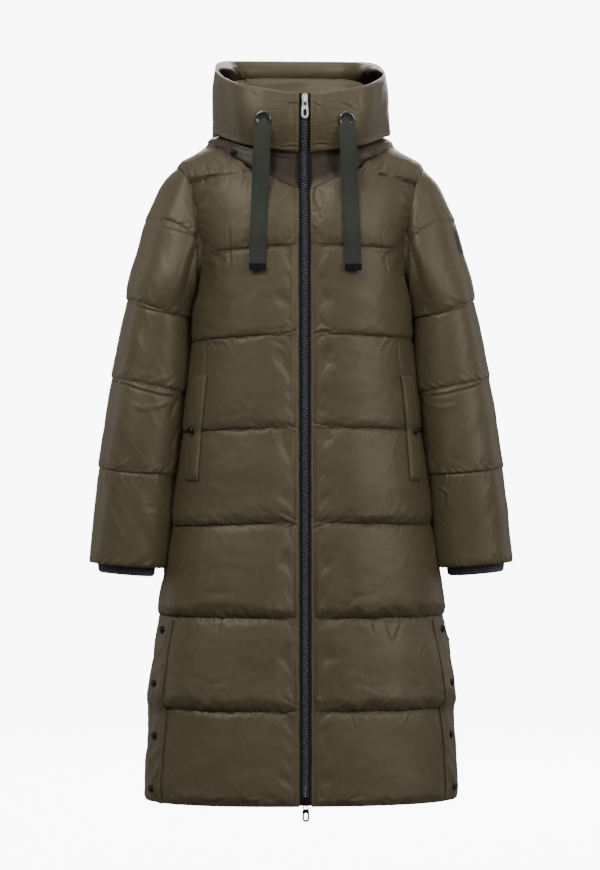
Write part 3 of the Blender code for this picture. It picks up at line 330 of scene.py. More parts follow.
def nylon_material(name, dark, mid, light, rough):
    """Satin down-proof nylon: a fine plain weave, faint crinkle and a slow shift of shade."""
    material, tree, shader, place = nodes_of(name)
    shade = noise(tree, place, 9.0, 4.0, 0.4)
    fine = noise(tree, place, 95.0, 3.0, 0.6)
    colour = ramp(tree, blend(tree, shade, fine, 0.7), ((0.30, dark), (0.50, mid), (0.72, light)))
    tree.links.new(colour, shader.inputs["Base Color"])
    crinkle = noise(tree, place, 46.0, 3.0, 1.1)
    small = noise(tree, place, 210.0, 2.0, 0.5)
    weft = wave(tree, place, 520.0, "Z")
    warp = wave(tree, place, 520.0, "X")
    weave = maths(tree, "MULTIPLY", weft, warp)
    vary_roughness(tree, shader, fine, rough - 0.05, rough + 0.07)
    settle(shader, Specular_IOR_Level=0.34, Specular_Tint=(1.0, 0.93, 0.80, 1.0), Sheen_Weight=0.10,
           Sheen_Roughness=0.5, Sheen_Tint=(0.62, 0.52, 0.36, 1.0))
    bumps(tree, shader, ((weave, 0.00012, 0.25), (small, 0.0004, 0.12), (crinkle, 0.0016, 0.14)))
    return material


def knit_material(name, colour, light):
    """Rib knit: small loops over the ribs that the mesh has."""
    material, tree, shader, place = nodes_of(name)
    fuzz = noise(tree, place, 900.0, 3.0, 0.3)
    loops = wave(tree, place, 330.0, "Z", 2.0)
    shade = ramp(tree, blend(tree, fuzz, loops, 0.5), ((0.25, colour), (0.85, light)))
    tree.links.new(shade, shader.inputs["Base Color"])
    settle(shader, Roughness=0.88, Sheen_Weight=0.35, Sheen_Roughness=0.5)
    bumps(tree, shader, ((loops, 0.0006, 0.7), (fuzz, 0.0004, 0.5)))
    return material


def tape_material(name, colour, light, scale, rough, gloss=0.5):
    """Woven tape with a twill rib."""
    material, tree, shader, place = nodes_of(name)
    twill = wave(tree, place, scale, "DIAGONAL", 0.6)
    rows = wave(tree, place, scale * 1.3, "Z", 0.2)
    fuzz = noise(tree, place, 700.0, 2.0)
    shade = ramp(tree, blend(tree, twill, fuzz, 0.6), ((0.2, colour), (0.9, light)))
    tree.links.new(shade, shader.inputs["Base Color"])
    settle(shader, Roughness=rough, Specular_IOR_Level=gloss, Sheen_Weight=0.12 * gloss)
    bumps(tree, shader, ((twill, 0.0004, 0.6), (rows, 0.0002, 0.4)))
    return material


def metal_material(name, colour, rough, metallic, wear):
    """Metal with faint handling marks and a brighter worn film in soft patches."""
    material, tree, shader, place = nodes_of(name)
    marks = noise(tree, place, 420.0, 4.0, 1.5)
    cloud = noise(tree, place, 90.0, 2.0)
    tree.links.new(ramp(tree, cloud, ((0.25, colour), (0.80, wear))), shader.inputs["Base Color"])
    vary_roughness(tree, shader, marks, rough - 0.07, rough + 0.10)
    settle(shader, Metallic=metallic, Coat_Weight=1.0 - metallic, Coat_Roughness=0.08)
    bumps(tree, shader, ((marks, 0.0001, 0.3),))
    return material


def plastic_material(name, colour, light, rough):
    """Moulded plastic with a fine grain, and painted glints in light cloudy patches."""
    material, tree, shader, place = nodes_of(name)
    grain = noise(tree, place, 1500.0, 2.0)
    cloud = noise(tree, place, 620.0, 2.0)
    # The light end of the ramp, spread in cloudy patches, is painted glints on the dark plastic.
    tree.links.new(ramp(tree, cloud, ((0.3, colour), (0.8, light))), shader.inputs["Base Color"])
    settle(shader, Roughness=rough, Specular_IOR_Level=0.6)
    bumps(tree, shader, ((grain, 0.0001, 0.35),))
    return material


CLOTH = nylon_material("olive nylon", (0.047, 0.036, 0.019), (0.054, 0.042, 0.0225),
                       (0.062, 0.049, 0.0270), 0.46)
# A darker copy of the olive nylon, used only on the neck band: painted shade, standing for the shade
# that the hood's overhang casts on the band.
PAINTED_SHADE_CLOTH = nylon_material("olive nylon darkened as painted shade", (0.0190, 0.0152, 0.0088), (0.0222, 0.0178, 0.0102),
                            (0.0264, 0.0212, 0.0124), 0.44)
THREAD = tape_material("olive thread", (0.080, 0.062, 0.033), (0.165, 0.135, 0.085), 900.0, 0.55)
KNIT = knit_material("black rib knit", (0.006, 0.006, 0.0065), (0.030, 0.030, 0.031))
ZIP_CLOTH = tape_material("black zip tape", (0.003, 0.003, 0.003), (0.010, 0.010, 0.011), 420.0, 0.6,
                          0.15)
# Black teeth whose light cloudy patches are painted glints, standing for highlights on the moulded
# heads.
GLINT_TEETH = plastic_material("black moulded teeth", (0.012, 0.013, 0.015), (0.170, 0.176, 0.205), 0.24)
WEBBING = tape_material("grey green webbing", (0.0195, 0.0215, 0.0165), (0.0375, 0.0405, 0.0320),
                        260.0, 0.78, 0.2)
TAPE_END = tape_material("black tape end", (0.002, 0.002, 0.002), (0.006, 0.006, 0.006), 500.0, 0.6,
                         0.12)
SNAP_METAL = metal_material("black snap metal", (0.003, 0.003, 0.0032), 0.42, 0.85,
                            (0.010, 0.010, 0.0105))
STEEL = metal_material("polished steel", (0.86, 0.86, 0.87), 0.24, 0.60, (0.93, 0.93, 0.94))
DARK = metal_material("black coated metal", (0.006, 0.006, 0.0065), 0.25, 0.15, (0.020, 0.020, 0.021))
BADGE = tape_material("plain dark patch", (0.016, 0.014, 0.011), (0.036, 0.032, 0.026), 480.0, 0.6)


# ---------------------------------------------------------------- meshes
def piece(name, points, faces, material, smooth=True):
    """A mesh object of the dressed coat, riding on its body."""
    mesh = bpy.data.meshes.new(name)
    points = np.asarray(points, float)
    mesh.from_pydata(points.tolist(), [], [tuple(int(i) for i in face) for face in faces])
    mesh.materials.append(material)
    mesh.update()
    if smooth:
        mesh.shade_smooth()
        mesh.set_sharp_from_angle(angle=CREASE_ANGLE)
    item = bpy.data.objects.new(name, mesh)
    bpy.context.scene.collection.objects.link(item)
    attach(item, COAT)
    return item


def grid_faces(rows, columns, mask=None, wrap=False):
    """Quads of a grid as an array; `mask` (rows-1, columns-1) says which are kept."""
    index = np.arange(rows * columns).reshape(rows, columns)
    if wrap:
        index = np.concatenate((index, index[:, :1]), axis=1)
    quads = np.stack((index[:-1, :-1], index[:-1, 1:], index[1:, 1:], index[1:, :-1]), -1)
    if mask is not None:
        return quads[mask]
    return quads.reshape(-1, 4)


def tube_faces(rows, columns):
    """Quads of a closed tube of rings, and a cap on each of its ends."""
    return grid_faces(rows, columns, wrap=True).tolist() + [
        tuple(reversed(range(columns))), tuple(range((rows - 1) * columns, rows * columns))]


def border_edges(faces):
    """Directed edges of the faces that no other face shares."""
    seen = {}
    for face in faces.tolist():
        for a, b in zip(face, face[1:] + face[:1]):
            seen[(a, b)] = True
    return [(a, b) for a, b in seen if (b, a) not in seen]


def wall(outer, inner, faces):
    """Close an outside and an inside with as many points into one wall."""
    count = len(outer)
    rim = [(b, a, a + count, b + count) for a, b in border_edges(faces)]
    inside = faces[:, ::-1] + count
    return np.concatenate((outer, inner)), faces.tolist() + inside.tolist() + rim


# ---------------------------------------------------------------- body surfaces
def ring(z):
    """The left half of the level ring at a height, from the front to the back."""
    half, front, back, power = (np.interp(z, BODY_RINGS[:, 0], BODY_RINGS[:, i])
                                for i in (1, 2, 3, 4))
    angle = np.linspace(0.0, np.pi, RING_POINTS)
    along, across = np.cos(angle), np.sin(angle)
    y = (front + back) / 2 - np.sign(along) * np.abs(along) ** (2 / power) * (back - front) / 2
    return np.stack((half * np.abs(across) ** (2 / power), y, np.full_like(y, z)), 1)


def armhole_reach(z):
    """Half width of the armhole, front to back, at a height."""
    if z <= UNDERARM_Z:
        return 0.0
    share = min((z - UNDERARM_Z) / (BODY_RINGS[-1, 0] - UNDERARM_Z), 1.0)
    return ARMHOLE_REACH * math.sqrt(share * (2 - share))


def level_rows(channel, chest):
    """(height, channel, place in the channel) of the rows below the yoke."""
    rows = []
    for index in range(len(BODY_RINGS) - 1):
        low, high = BODY_RINGS[index, 0], BODY_RINGS[index + 1, 0]
        for t in chest if index == len(BODY_RINGS) - 2 else channel:
            rows.append((mix(low, high, t), index, t))
    rows.append((BODY_RINGS[-1, 0], len(BODY_RINGS) - 1, 0.0))
    return rows


def middle_y(z):
    return (np.interp(z, BODY_RINGS[:, 0], BODY_RINGS[:, 2])
            + np.interp(z, BODY_RINGS[:, 0], BODY_RINGS[:, 3])) / 2


def above_underarm(edge):
    """The points of a side edge that bound the armhole."""
    return edge[edge[:, 2] >= UNDERARM_Z - SLACK]


def front_surface(rows, yoke, shoulder, fine):
    """Left front, hem to shoulder; columns from the zip to the side. Returns grid, places."""
    grid, places = [], []
    for z, channel, t in rows:
        line = ring(z)
        keep = (line[:, 1] <= middle_y(z) - armhole_reach(z) + 1e-6) & (line[:, 0] >= ZIP_EDGE_X)
        run = even(line[keep], FRONT_COLUMNS * fine)
        run[0, 0] = ZIP_EDGE_X
        grid.append(run)
        places.append((channel, t))
    neck, arm = NECK_COLUMNS * fine, YOKE_COLUMNS * fine
    top = np.concatenate((even(FRONT_NECK, neck), even(FRONT_YOKE, arm)[1:]))
    base = grid[-1]
    for t in yoke:
        bulge = np.array((0.0, -0.024 * t * (1 - t), 0.004 * t * (1 - t)))
        grid.append(mix(base, top, t) + bulge)
        places.append((YOKE, t))
    places[-1] = (TOP, 0.0)
    start, stop = top[neck:], even(SHOULDER, arm)
    share = np.linspace(0, 1, arm + 1)[:, None]
    lift = np.concatenate((0 * share, mix(-0.030, -0.020, share), mix(0.004, 0.012, share)), 1)
    for t in shoulder:
        grid.append(np.concatenate((top[:neck], bend(start, lift, stop, t))))
        places.append((TOP, t))
    return np.array(grid), np.array(places)


def back_surface(rows, yoke, shoulder, fine):
    """Left half of the back, hem to shoulder; columns from the side to the middle."""
    grid, places = [], []
    for z, channel, t in rows:
        line = ring(z)
        run = even(line[line[:, 1] >= middle_y(z) + armhole_reach(z) - 1e-6], BACK_COLUMNS * fine)
        run[-1, 0] = 0.0
        grid.append(run)
        places.append((channel, t))
    base, top = grid[-1], even(BACK_YOKE, BACK_COLUMNS * fine)
    for t in yoke:
        grid.append(mix(base, top, t) + np.array((0.0, 0.020 * t * (1 - t), 0.0)))
        places.append((YOKE, t))
    places[-1] = (TOP, 0.0)
    crown = np.concatenate((even(SHOULDER[::-1], BACK_YOKE_COLUMNS * fine),
                            even(BACK_NECK, BACK_NECK_COLUMNS * fine)[1:]))
    for t in shoulder:
        grid.append(bend(top, np.array((0.0, 0.016, 0.014)), crown, t))
        places.append((TOP, t))
    return np.array(grid), np.array(places)


CAD_ROWS = level_rows(CAD_CHANNEL, CAD_CHEST)
EVEN_STEPS = np.arange(CHANNEL_STEPS) / CHANNEL_STEPS
FINE_STEPS = EVEN_STEPS - 0.6 * np.sin(2 * np.pi * EVEN_STEPS) / (2 * np.pi)
FINE_ROWS = level_rows(FINE_STEPS, FINE_STEPS)
FINE_YOKE = np.arange(1, YOKE_STEPS + 1) / YOKE_STEPS
FINE_SHOULDER = np.arange(1, SHOULDER_STEPS + 1) / SHOULDER_STEPS
FRONT, FRONT_PLACES = front_surface(FINE_ROWS, FINE_YOKE, FINE_SHOULDER, FINE)
BACK, BACK_PLACES = back_surface(FINE_ROWS, FINE_YOKE, FINE_SHOULDER, BACK_FINE)
CAD_SHOULDER = (1 / 3, 2 / 3, 1.0)
CAD_FRONT, _ = front_surface(CAD_ROWS, CAD_YOKE, CAD_SHOULDER, 1)
CAD_BACK, _ = back_surface(CAD_ROWS, CAD_YOKE, CAD_SHOULDER, 1)


# ---------------------------------------------------------------- sleeve surfaces
def run_shares(points):
    run = run_of(points)
    return run / run[-1]


def seam_loop(front_edge, back_edge, count):
    """Armhole points from the shoulder down the front and up the back, `count` in all.

    The points keep the places that the solids' own loop has.
    """
    keys = np.linspace(0, ARM_POINTS // 2, count // 2 + 1)
    result = []
    for fine_edge, coarse_edge in ((front_edge[::-1], above_underarm(CAD_FRONT[:, -1])[::-1]),
                                   (back_edge, above_underarm(CAD_BACK[:, 0]))):
        coarse, fine = run_shares(coarse_edge), run_shares(fine_edge)
        place = np.interp(keys, np.arange(len(coarse)), coarse)
        result.append(along_run(place, fine, fine_edge))
    return np.concatenate((result[0], result[1][1:-1]))


def sleeve_station(station, count):
    """One quilting ring of the left sleeve, from its outermost point over the front."""
    outer_x, outer_z, inner_x, inner_z, y, half_depth = station
    outer, inner = np.array((outer_x, y, outer_z)), np.array((inner_x, y, inner_z))
    angle = 2 * np.pi * np.arange(count) / count
    power = 2 / SLEEVE_ROUNDNESS
    along = np.sign(np.cos(angle)) * np.abs(np.cos(angle)) ** power
    across = np.sign(np.sin(angle)) * np.abs(np.sin(angle)) ** power
    centre = (outer + inner) / 2
    return (centre + (outer - centre) * along[:, None]
            + np.stack((0 * across, -half_depth * across, 0 * across), 1))


def arm_keys(count):
    """How far each point of a ring is from its outermost one, in points of the solids' ring."""
    return ARM_POINTS * np.minimum(np.arange(count), count - np.arange(count)) / count


def sleeve_surface(loop, cap_steps, channel_steps):
    """Rings of the left sleeve from the armhole to the cuff, with their channel places."""
    count = len(loop)
    angle = 2 * np.pi * np.arange(count) / count
    key = arm_keys(count)
    share = np.interp(key, np.arange(len(CAP_SHARE)), CAP_SHARE)[:, None]
    stations = [sleeve_station(station, count) for station in SLEEVE_STATIONS]
    push = np.stack((0.020 * np.maximum(np.cos(angle), 0) ** 1.5, -0.012 * np.sin(angle),
                     0.004 * np.maximum(np.cos(angle), 0)), 1)
    under = step(5.5, 7.0, key)[:, None]
    push = mix(push, np.array((0.0085, 0.0, 0.0)), under)

    def cap_ring(part):
        return mix(loop, stations[0], part) + push * (4 * part * (1 - part))

    grid = [cap_ring(share * t) for t in np.arange(cap_steps) / cap_steps]
    places = [(0, t) for t in np.arange(cap_steps) / cap_steps]
    for t in channel_steps:
        grid.append(cap_ring(mix(share, 1.0, t)))
        places.append((1, t))
    for index in range(len(stations) - 1):
        for t in channel_steps:
            grid.append(mix(stations[index], stations[index + 1], t))
            places.append((index + 2, t))
    grid.append(stations[-1])
    places.append((SLEEVE_END, 0.0))
    return np.array(grid), np.array(places)


# ---------------------------------------------------------------- filled cloth
SHOULDER_NORMAL = np.array((0.503, 0.0, 0.864))
SIDE_NORMAL = np.array((1.0, 0.0, 0.0))
SEAM_TURN = 5                 # columns over which the normals turn towards a seam's own
SIM_FRAMES = 18


class Panel:
    """A cut piece: its sewn surface as a grid, its filled outside, and which points are held."""

    def __init__(self, name, grid, normals, mask=None, wrap=False):
        self.name, self.grid, self.normals = name, grid, normals
        self.mask, self.wrap = mask, wrap
        self.faces = grid_faces(*grid.shape[:2], mask, wrap)
        self.outer = grid.copy()
        self.held = np.zeros(grid.shape[:2], bool)
        self.reach, self.shrink = 0.0022, -0.012
        self.keep_rows = self.keep_columns = ()
        self.side, self.gathers = 1, np.ones(len(FILL))

    def used(self):
        """Which points have a face; the others stay still and aren't dressed."""
        flags = np.zeros(self.grid.shape[0] * self.grid.shape[1], bool)
        flags[self.faces.ravel()] = True
        return flags


def run_along(grid, axis):
    """Running length along the rows' or the columns' direction at each grid point."""
    size = np.linalg.norm(np.diff(grid, axis=axis), axis=2)
    pad = np.zeros_like(size[:1]) if axis == 0 else np.zeros_like(size[:, :1])
    return np.concatenate((pad, np.cumsum(size, axis=axis)), axis=axis)


def pucker(seed, along, away, reach, cell, slant=0.25):
    """Fine gathers beside a seam: ridges that start at it, lean, and die out with distance."""
    lean = slant * (0.75 + 0.6 * lattice(seed + 7, along / 0.07, away * 0 + 0.5))
    place = along / cell - lean * away / cell
    sharp = 1 - np.abs(lattice(seed, place, away / (reach * 1.6)))
    length = 0.55 + 0.75 * (0.5 + 0.5 * lattice(seed + 3, along / (cell * 1.7), away * 0 + 0.5))
    fade = np.exp(-(away / (reach * length)) ** 1.35)
    return (sharp ** 2.2 - 0.30) * fade


def cloth_settings(item, panel):
    """The pressure simulation of one panel's cloth."""
    cloth = item.modifiers.new("cloth", "CLOTH")
    values = cloth.settings
    values.quality = 5
    values.mass = 0.12
    values.tension_stiffness = values.compression_stiffness = 12
    values.shear_stiffness = 4
    values.bending_stiffness = 0.04
    values.air_damping = 3
    values.vertex_group_mass = "held"
    values.use_pressure = True
    values.uniform_pressure_force = 2.2
    values.shrink_min = panel.shrink
    values.effector_weights.gravity = 0.0
    cloth.collision_settings.use_collision = False
    cloth.point_cache.frame_end = SIM_FRAMES


def inflate(panels):
    """Blow the filled panels up as cloth held at their seams, all in one run."""
    scene = bpy.context.scene
    made = []
    for panel in panels:
        mesh = bpy.data.meshes.new(panel.name + "_cloth")
        mesh.from_pydata(panel.outer.reshape(-1, 3).tolist(), [], panel.faces.tolist())
        item = bpy.data.objects.new(panel.name + "_cloth", mesh)
        scene.collection.objects.link(item)
        group = item.vertex_groups.new(name="held")
        group.add(np.flatnonzero(panel.held.ravel() | ~panel.used()).tolist(), 1.0, "REPLACE")
        cloth_settings(item, panel)
        made.append((panel, item))
    for number in range(1, SIM_FRAMES + 1):
        scene.frame_set(number)
    graph = bpy.context.evaluated_depsgraph_get()
    for panel, item in made:
        mesh = item.evaluated_get(graph).data
        points = np.empty(len(mesh.vertices) * 3)
        mesh.vertices.foreach_get("co", points)
        move = points.reshape(panel.outer.shape) - panel.outer
        size = np.linalg.norm(move, axis=2, keepdims=True)
        move *= np.minimum(1.0, panel.reach / np.maximum(size, 1e-9))
        panel.outer = panel.outer + move
        bpy.data.objects.remove(item, do_unlink=True)
    scene.frame_set(1)


def body_puckers(panel, places, along, seed, strength, down=False):
    """Gathers beside each level seam, longer on the side where the filling hangs over it."""
    rows = run_along(panel.grid, 0)
    lift = np.zeros(panel.grid.shape[:2])
    channel = places[:, 0].astype(int)
    for index in range(channel.max() + 1):
        inside = np.flatnonzero(channel == index)
        if len(inside) < 3:
            continue
        last = min(inside[-1] + 1, len(places) - 1)
        low, high = rows[inside[0]], rows[last]
        above = rows[inside] - low
        below = high - rows[inside]
        if down:
            above, below = below, above
        run, own = along[inside], seed + index * 11
        part = 0.85 * pucker(own, run, above, 0.020, 0.0088, 0.9)
        part += 0.55 * pucker(own + 5, run, above, 0.009, 0.0050, 0.7)
        part = part * panel.gathers[index]
        onward = panel.gathers[min(index + 1, len(panel.gathers) - 1)]
        part += 0.40 * onward * pucker(own + 2, run, below, 0.012, 0.0070, -0.3)
        lift[inside] += part * strength
    return lift


def hold_columns(panel, left, right):
    """Hold the points that are within a length of the first column, and of the last one."""
    along = run_along(panel.grid, 1)
    panel.held |= along <= left
    panel.held |= along[:, -1:] - along <= right


def seam_normals(normals, edge, wanted, rows, width):
    """Turn the normals of some rows towards a shared direction at an edge column."""
    for k in range(width):
        share = 1 - k / width
        column = k if edge == 0 else -1 - k
        normals[rows, column] = unit(mix(normals[rows, column], wanted, share))


# For each channel upwards from the hem: filled height, share of it that turns under at its
# foot, downward shift of the settled filling, and how far its foot seam stands out.
FILL = np.array(((0.0120, 0.075, 0.0000, 0.0000), (0.0150, 0.130, 0.0010, 0.0010),
                 (0.0140, 0.120, 0.0010, 0.0020), (0.0085, 0.080, 0.0005, 0.0055),
                 (0.0046, 0.055, 0.0000, 0.0080), (0.0038, 0.050, 0.0000, 0.0080),
                 (0.0034, 0.050, 0.0000, 0.0070), (0.0040, 0.060, 0.0000, 0.0055),
                 (0.0, 0.1, 0.0, 0.0)))
# How strong the gathers over the foot seam of each channel are.
FRONT_GATHERS = {"right": np.array((0.9, 1.15, 1.15, 0.55, 0.35, 0.28, 0.45, 0.7, 1.0)),
                 "left": np.array((0.9, 1.05, 1.05, 0.95, 0.50, 0.28, 0.40, 0.6, 1.0))}


def drape(t, turn):
    """Height of a channel whose filling has settled; t is 0 at its foot, which turns under."""
    rise = np.clip(1 - (1 - np.clip(t / turn, 0, 1)) ** 1.9, 0, 1) ** 0.72
    return rise * np.clip(1 - np.clip(t - turn, 0, 1) / (1 - turn), 0, 1) ** 0.62


def body_heights(places, inside, side_share, seed):
    """Filled height above the sewn surface and its downward shift."""
    channel = places[:, 0].astype(int)
    full, turn, drop, foot = (FILL[channel, i][:, None] for i in range(4))
    head = FILL[channel + 1, 3][:, None]
    t = places[:, 1:]
    ripple = 1 + 0.12 * lattice(seed, places[:, :1] * 1.7 + 0.5 + 0 * inside, inside * 7)
    loose = 1 + 0.40 * lattice(seed + 1, places[:, :1] * 2.3 + 0.5 + 0 * inside, inside * 13)
    share = mix(1.0, side_share, inside ** 4)
    height = share * (full * ripple * drape(t, turn * loose) + mix(foot, head, t))
    down = t / (turn * loose)
    return height, drop * share * down * np.exp(1 - down)


SHELL = 0.0006                # least height of the filled outside above the sewn surface
FLAT_SIDE = 0.16              # share of the filling that is left on a side seam
# How far the quilting seams hang lower towards the wearer's right and left side, by height.
SEAM_HANG = ((-1.058, 0.0, 0.0), (-0.906, -0.002, -0.001), (-0.756, -0.001, 0.0),
             (-0.603, 0.0080, 0.0050), (-0.449, 0.0095, 0.0060), (-0.299, 0.0115, 0.0065),
             (-0.156, 0.0145, 0.0055), (-0.060, 0.0, 0.0))


def hang_seams(grid, x, edge):
    """Lower the seams towards the sides; `edge` is 1 in the middle and 0 on the side seam."""
    z = grid[..., 2]
    half = np.interp(z, BODY_RINGS[:, 0], BODY_RINGS[:, 1])
    free = np.maximum(step(0.0, 0.12, edge), 1 - step(-0.30, -0.245, z))
    grid[..., 2] -= by_side(SEAM_HANG, z, x) * np.clip(np.abs(x) / half, 0, 1) ** 1.3 * free
    return grid


# How far the body swells at its side seams, towards the wearer's right and left sleeve.
SIDE_SWELL = ((-0.690, 0.0, 0.0), (-0.614, 0.0050, 0.0050), (-0.525, 0.0060, 0.0060),
              (-0.446, 0.0045, 0.0040), (-0.402, 0.0060, 0.0050), (-0.320, 0.0010, 0.0050),
              (-0.275, 0.0020, 0.0055), (-0.245, 0.0, 0.0))


def side_swell(z, x, inside):
    """Extra height beside a side seam; `inside` is 0 in the middle and 1 on the seam."""
    return by_side(SIDE_SWELL, z, x) * step(0.72, 0.96, inside)


def raise_outside(panel, grid, height, drop):
    """Set a panel's outside at a height over its sewn surface, shifted down by `drop`."""
    panel.outer = grid + panel.normals * (height + SHELL)[..., None]
    panel.outer[..., 2] -= drop


def front_panel(side, label, seed):
    """One front: flat beside the zip, and cut away over the neck."""
    yoke, neck = len(FINE_ROWS) + YOKE_STEPS - 1, NECK_COLUMNS * FINE
    mask = np.ones((FRONT.shape[0] - 1, FRONT.shape[1] - 1), bool)
    mask[yoke:, :neck] = False
    normals = outward(normals_of(FRONT, mask), 40, 20, 1, -1)
    low = FRONT[:, -1, 2] <= UNDERARM_Z + SLACK
    seam_normals(normals, 1, SIDE_NORMAL, low, SEAM_TURN)
    normals[-1, neck:] = SHOULDER_NORMAL
    inside = np.linspace(0, 1, FRONT.shape[1])[None, :]
    grid = hang_seams(FRONT.copy(), FRONT[..., 0] * side, 1 - inside)
    panel = Panel("front_" + label, grid, normals, mask)
    along = run_along(FRONT, 1)
    height, drop = body_heights(FRONT_PLACES, inside, FLAT_SIDE, seed)
    calm = mix(0.42, 1.0, step(0.0, 0.080, along)) * step(0.0015, 0.0120, along)
    calm = calm * step(0.0, 0.012, along[:, -1:] - along)
    height, drop = height * calm, drop * calm
    channel = FRONT_PLACES[:, :1]
    chest = (channel == CHEST) | (channel == YOKE)
    height = height * np.where(chest, mix(1.0, 0.45, step(0.72, 1.0, inside)), 1.0)
    over_neck = inside * FRONT_COLUMNS < NECK_COLUMNS
    shoulder = shoulder_height(FRONT_PLACES[:, 1:], (inside - NECK_COLUMNS / FRONT_COLUMNS)
                               * FRONT_COLUMNS / YOKE_COLUMNS)
    height = np.where(channel == TOP, np.where(over_neck, 0, shoulder), height)
    rim = along[:, -1:] - along
    height = height + side_swell(FRONT[..., 2], FRONT[..., 0] * side, inside)
    height = height + (0.0014 * np.exp(-((rim - 0.0065) / 0.0022) ** 2)
                       * step(-0.66, -0.60, FRONT[..., 2]) * step(0.25, 0.27, -FRONT[..., 2]))
    raise_outside(panel, grid, height, drop)
    panel.held[FRONT_PLACES[:, 1] == 0] = True
    panel.held[-1] = True
    panel.held[yoke, :neck + 1] = True
    panel.held[yoke:, neck] = True
    hold_columns(panel, 0.0035, 0.001)
    panel.places, panel.along, panel.seed = FRONT_PLACES, along, seed
    panel.reach = 0.0022 * mix(0.12, 1.0, step(0.004, 0.040, along))[..., None]
    panel.gathers = FRONT_GATHERS[label]
    panel.side = side
    panel.keep_rows, panel.keep_columns = (yoke,), (neck,)
    return panel


def shoulder_height(t, share):
    """Filled height above the yoke seam; `share` runs from the neck to the armhole."""
    rise = mix(FILL[TOP, 3], 0.0075, t) + 0.0050 * puff(t)
    rise = rise + 0.0055 * t * np.exp(-((share - 0.08) / 0.11) ** 2)
    return rise * step(0.0, 0.05, share) * mix(0.45, 1.0, step(0.0, 0.14, 1 - share))


def back_panel(seed):
    """The whole back, from one side seam round to the other."""
    normals = outward(normals_of(BACK), 40, 40, 1, 1)
    low = BACK[:, 0, 2] <= UNDERARM_Z + SLACK
    seam_normals(normals, 0, SIDE_NORMAL, low, SEAM_TURN)
    normals[-1, :BACK_YOKE_COLUMNS * BACK_FINE + 1] = SHOULDER_NORMAL
    normals[:, -1, 0] = 0
    normals[:, -1] = unit(normals[:, -1])
    grid = np.concatenate((flip(BACK, -1)[:, :-1], BACK[:, ::-1]), axis=1)
    normals = np.concatenate((flip(normals, -1)[:, :-1], normals[:, ::-1]), axis=1)
    across = np.abs(np.linspace(-1, 1, grid.shape[1]))[None, :]
    grid = hang_seams(grid, grid[..., 0], 1 - across)
    panel = Panel("back", grid, normals)
    along = run_along(grid, 1)
    height, drop = body_heights(BACK_PLACES, across, FLAT_SIDE, seed)
    calm = step(0.0, 0.012, along) * step(0.0, 0.012, along[:, -1:] - along)
    height, drop = height * calm, drop * calm
    channel, t = BACK_PLACES[:, :1], BACK_PLACES[:, 1:]
    chest = (channel == CHEST) | (channel == YOKE)
    height = height * np.where(chest, mix(1.0, 0.3, step(0.75, 1.0, across)), 1.0)
    past_neck = (across - BACK_NECK_COLUMNS / BACK_COLUMNS) * BACK_COLUMNS / BACK_YOKE_COLUMNS
    shoulder = shoulder_height(t, mix(1.0, past_neck, t ** 2) * np.where(t > 0.5, 1.0, 0.8))
    height = np.where(channel == TOP, shoulder, height)
    height = height + side_swell(grid[..., 2], grid[..., 0], across)
    raise_outside(panel, grid, height, drop)
    panel.held[BACK_PLACES[:, 1] == 0] = True
    panel.held[-1] = True
    hold_columns(panel, 0.001, 0.001)
    panel.places, panel.along, panel.seed = BACK_PLACES, along, seed
    return panel


def sleeve_panel(side, label, seed):
    """One sleeve: full on its outside, plain under the arm where it meets the body."""
    loop = seam_loop(above_underarm(FRONT[:, -1]), above_underarm(BACK[:, 0]), SLEEVE_RING)
    grid, places = sleeve_surface(loop, SHOULDER_STEPS, FINE_STEPS)
    normals = outward(normals_of(grid, wrap=True), len(grid) // 2, 0, 0, 1)
    panel = Panel("sleeve_" + label, grid, normals, wrap=True)
    angle = 2 * np.pi * np.arange(SLEEVE_RING) / SLEEVE_RING
    outside = ((0.5 + 0.5 * np.cos(angle)) ** 0.7)[None, :]
    key = arm_keys(SLEEVE_RING)[None, :]
    down = places[:, :1] + places[:, 1:]
    cap = step(0.6, 1.6, down)
    full = mix(0.0045, mix(0.0012, 0.0026, cap), outside)
    base = mix(0.0135, 0.0004, outside) * np.clip(down * 2, 0, 1)
    under = (1 - step(0.80, 1.12, down)) * step(5.0, 6.5, key)
    full = mix(full, 0.0004, under)
    ripple = 1 + 0.12 * lattice(seed, places[:, :1] * 1.9 + 0.5 + 0 * key, angle[None, :] * 2.2)
    t = 1 - places[:, 1:]
    t = np.where(places[:, 1:] == 0, 0.0, t)
    height = full * ripple * mix(drape(t, 0.060), puff(t), 0.35) + base * (1 - under)
    level_z = grid[..., 2]
    column_run = run_along(grid, 0)
    off_seam = mix(0.6, 1.0, step(0.0, 0.015, column_run[-1:] - column_run))
    height += outside * (0.0052 * off_seam * np.exp(-((level_z + 0.050) / 0.026) ** 2)
                         - 0.0062 * np.exp(-((level_z + 0.163) / 0.042) ** 2))
    height[-1] = 0.0022 + 0.0030 * outside[0] * np.exp(-((level_z[-1] + 0.040) / 0.035) ** 2)
    drop = 0.0008 * (t / 0.08) * np.exp(1 - t / 0.08)
    raise_outside(panel, grid, height, drop * outside * (places[:, :1] < SLEEVE_END))
    panel.held[places[:, 1] == 0] = True
    panel.held |= under > 0.6
    panel.places, panel.seed, panel.side = places, seed, side
    panel.along = run_along(np.concatenate((grid, grid[:, :1]), axis=1), 1)[:, :-1]
    panel.reach, panel.shrink = 0.0026, 0.0
    return panel


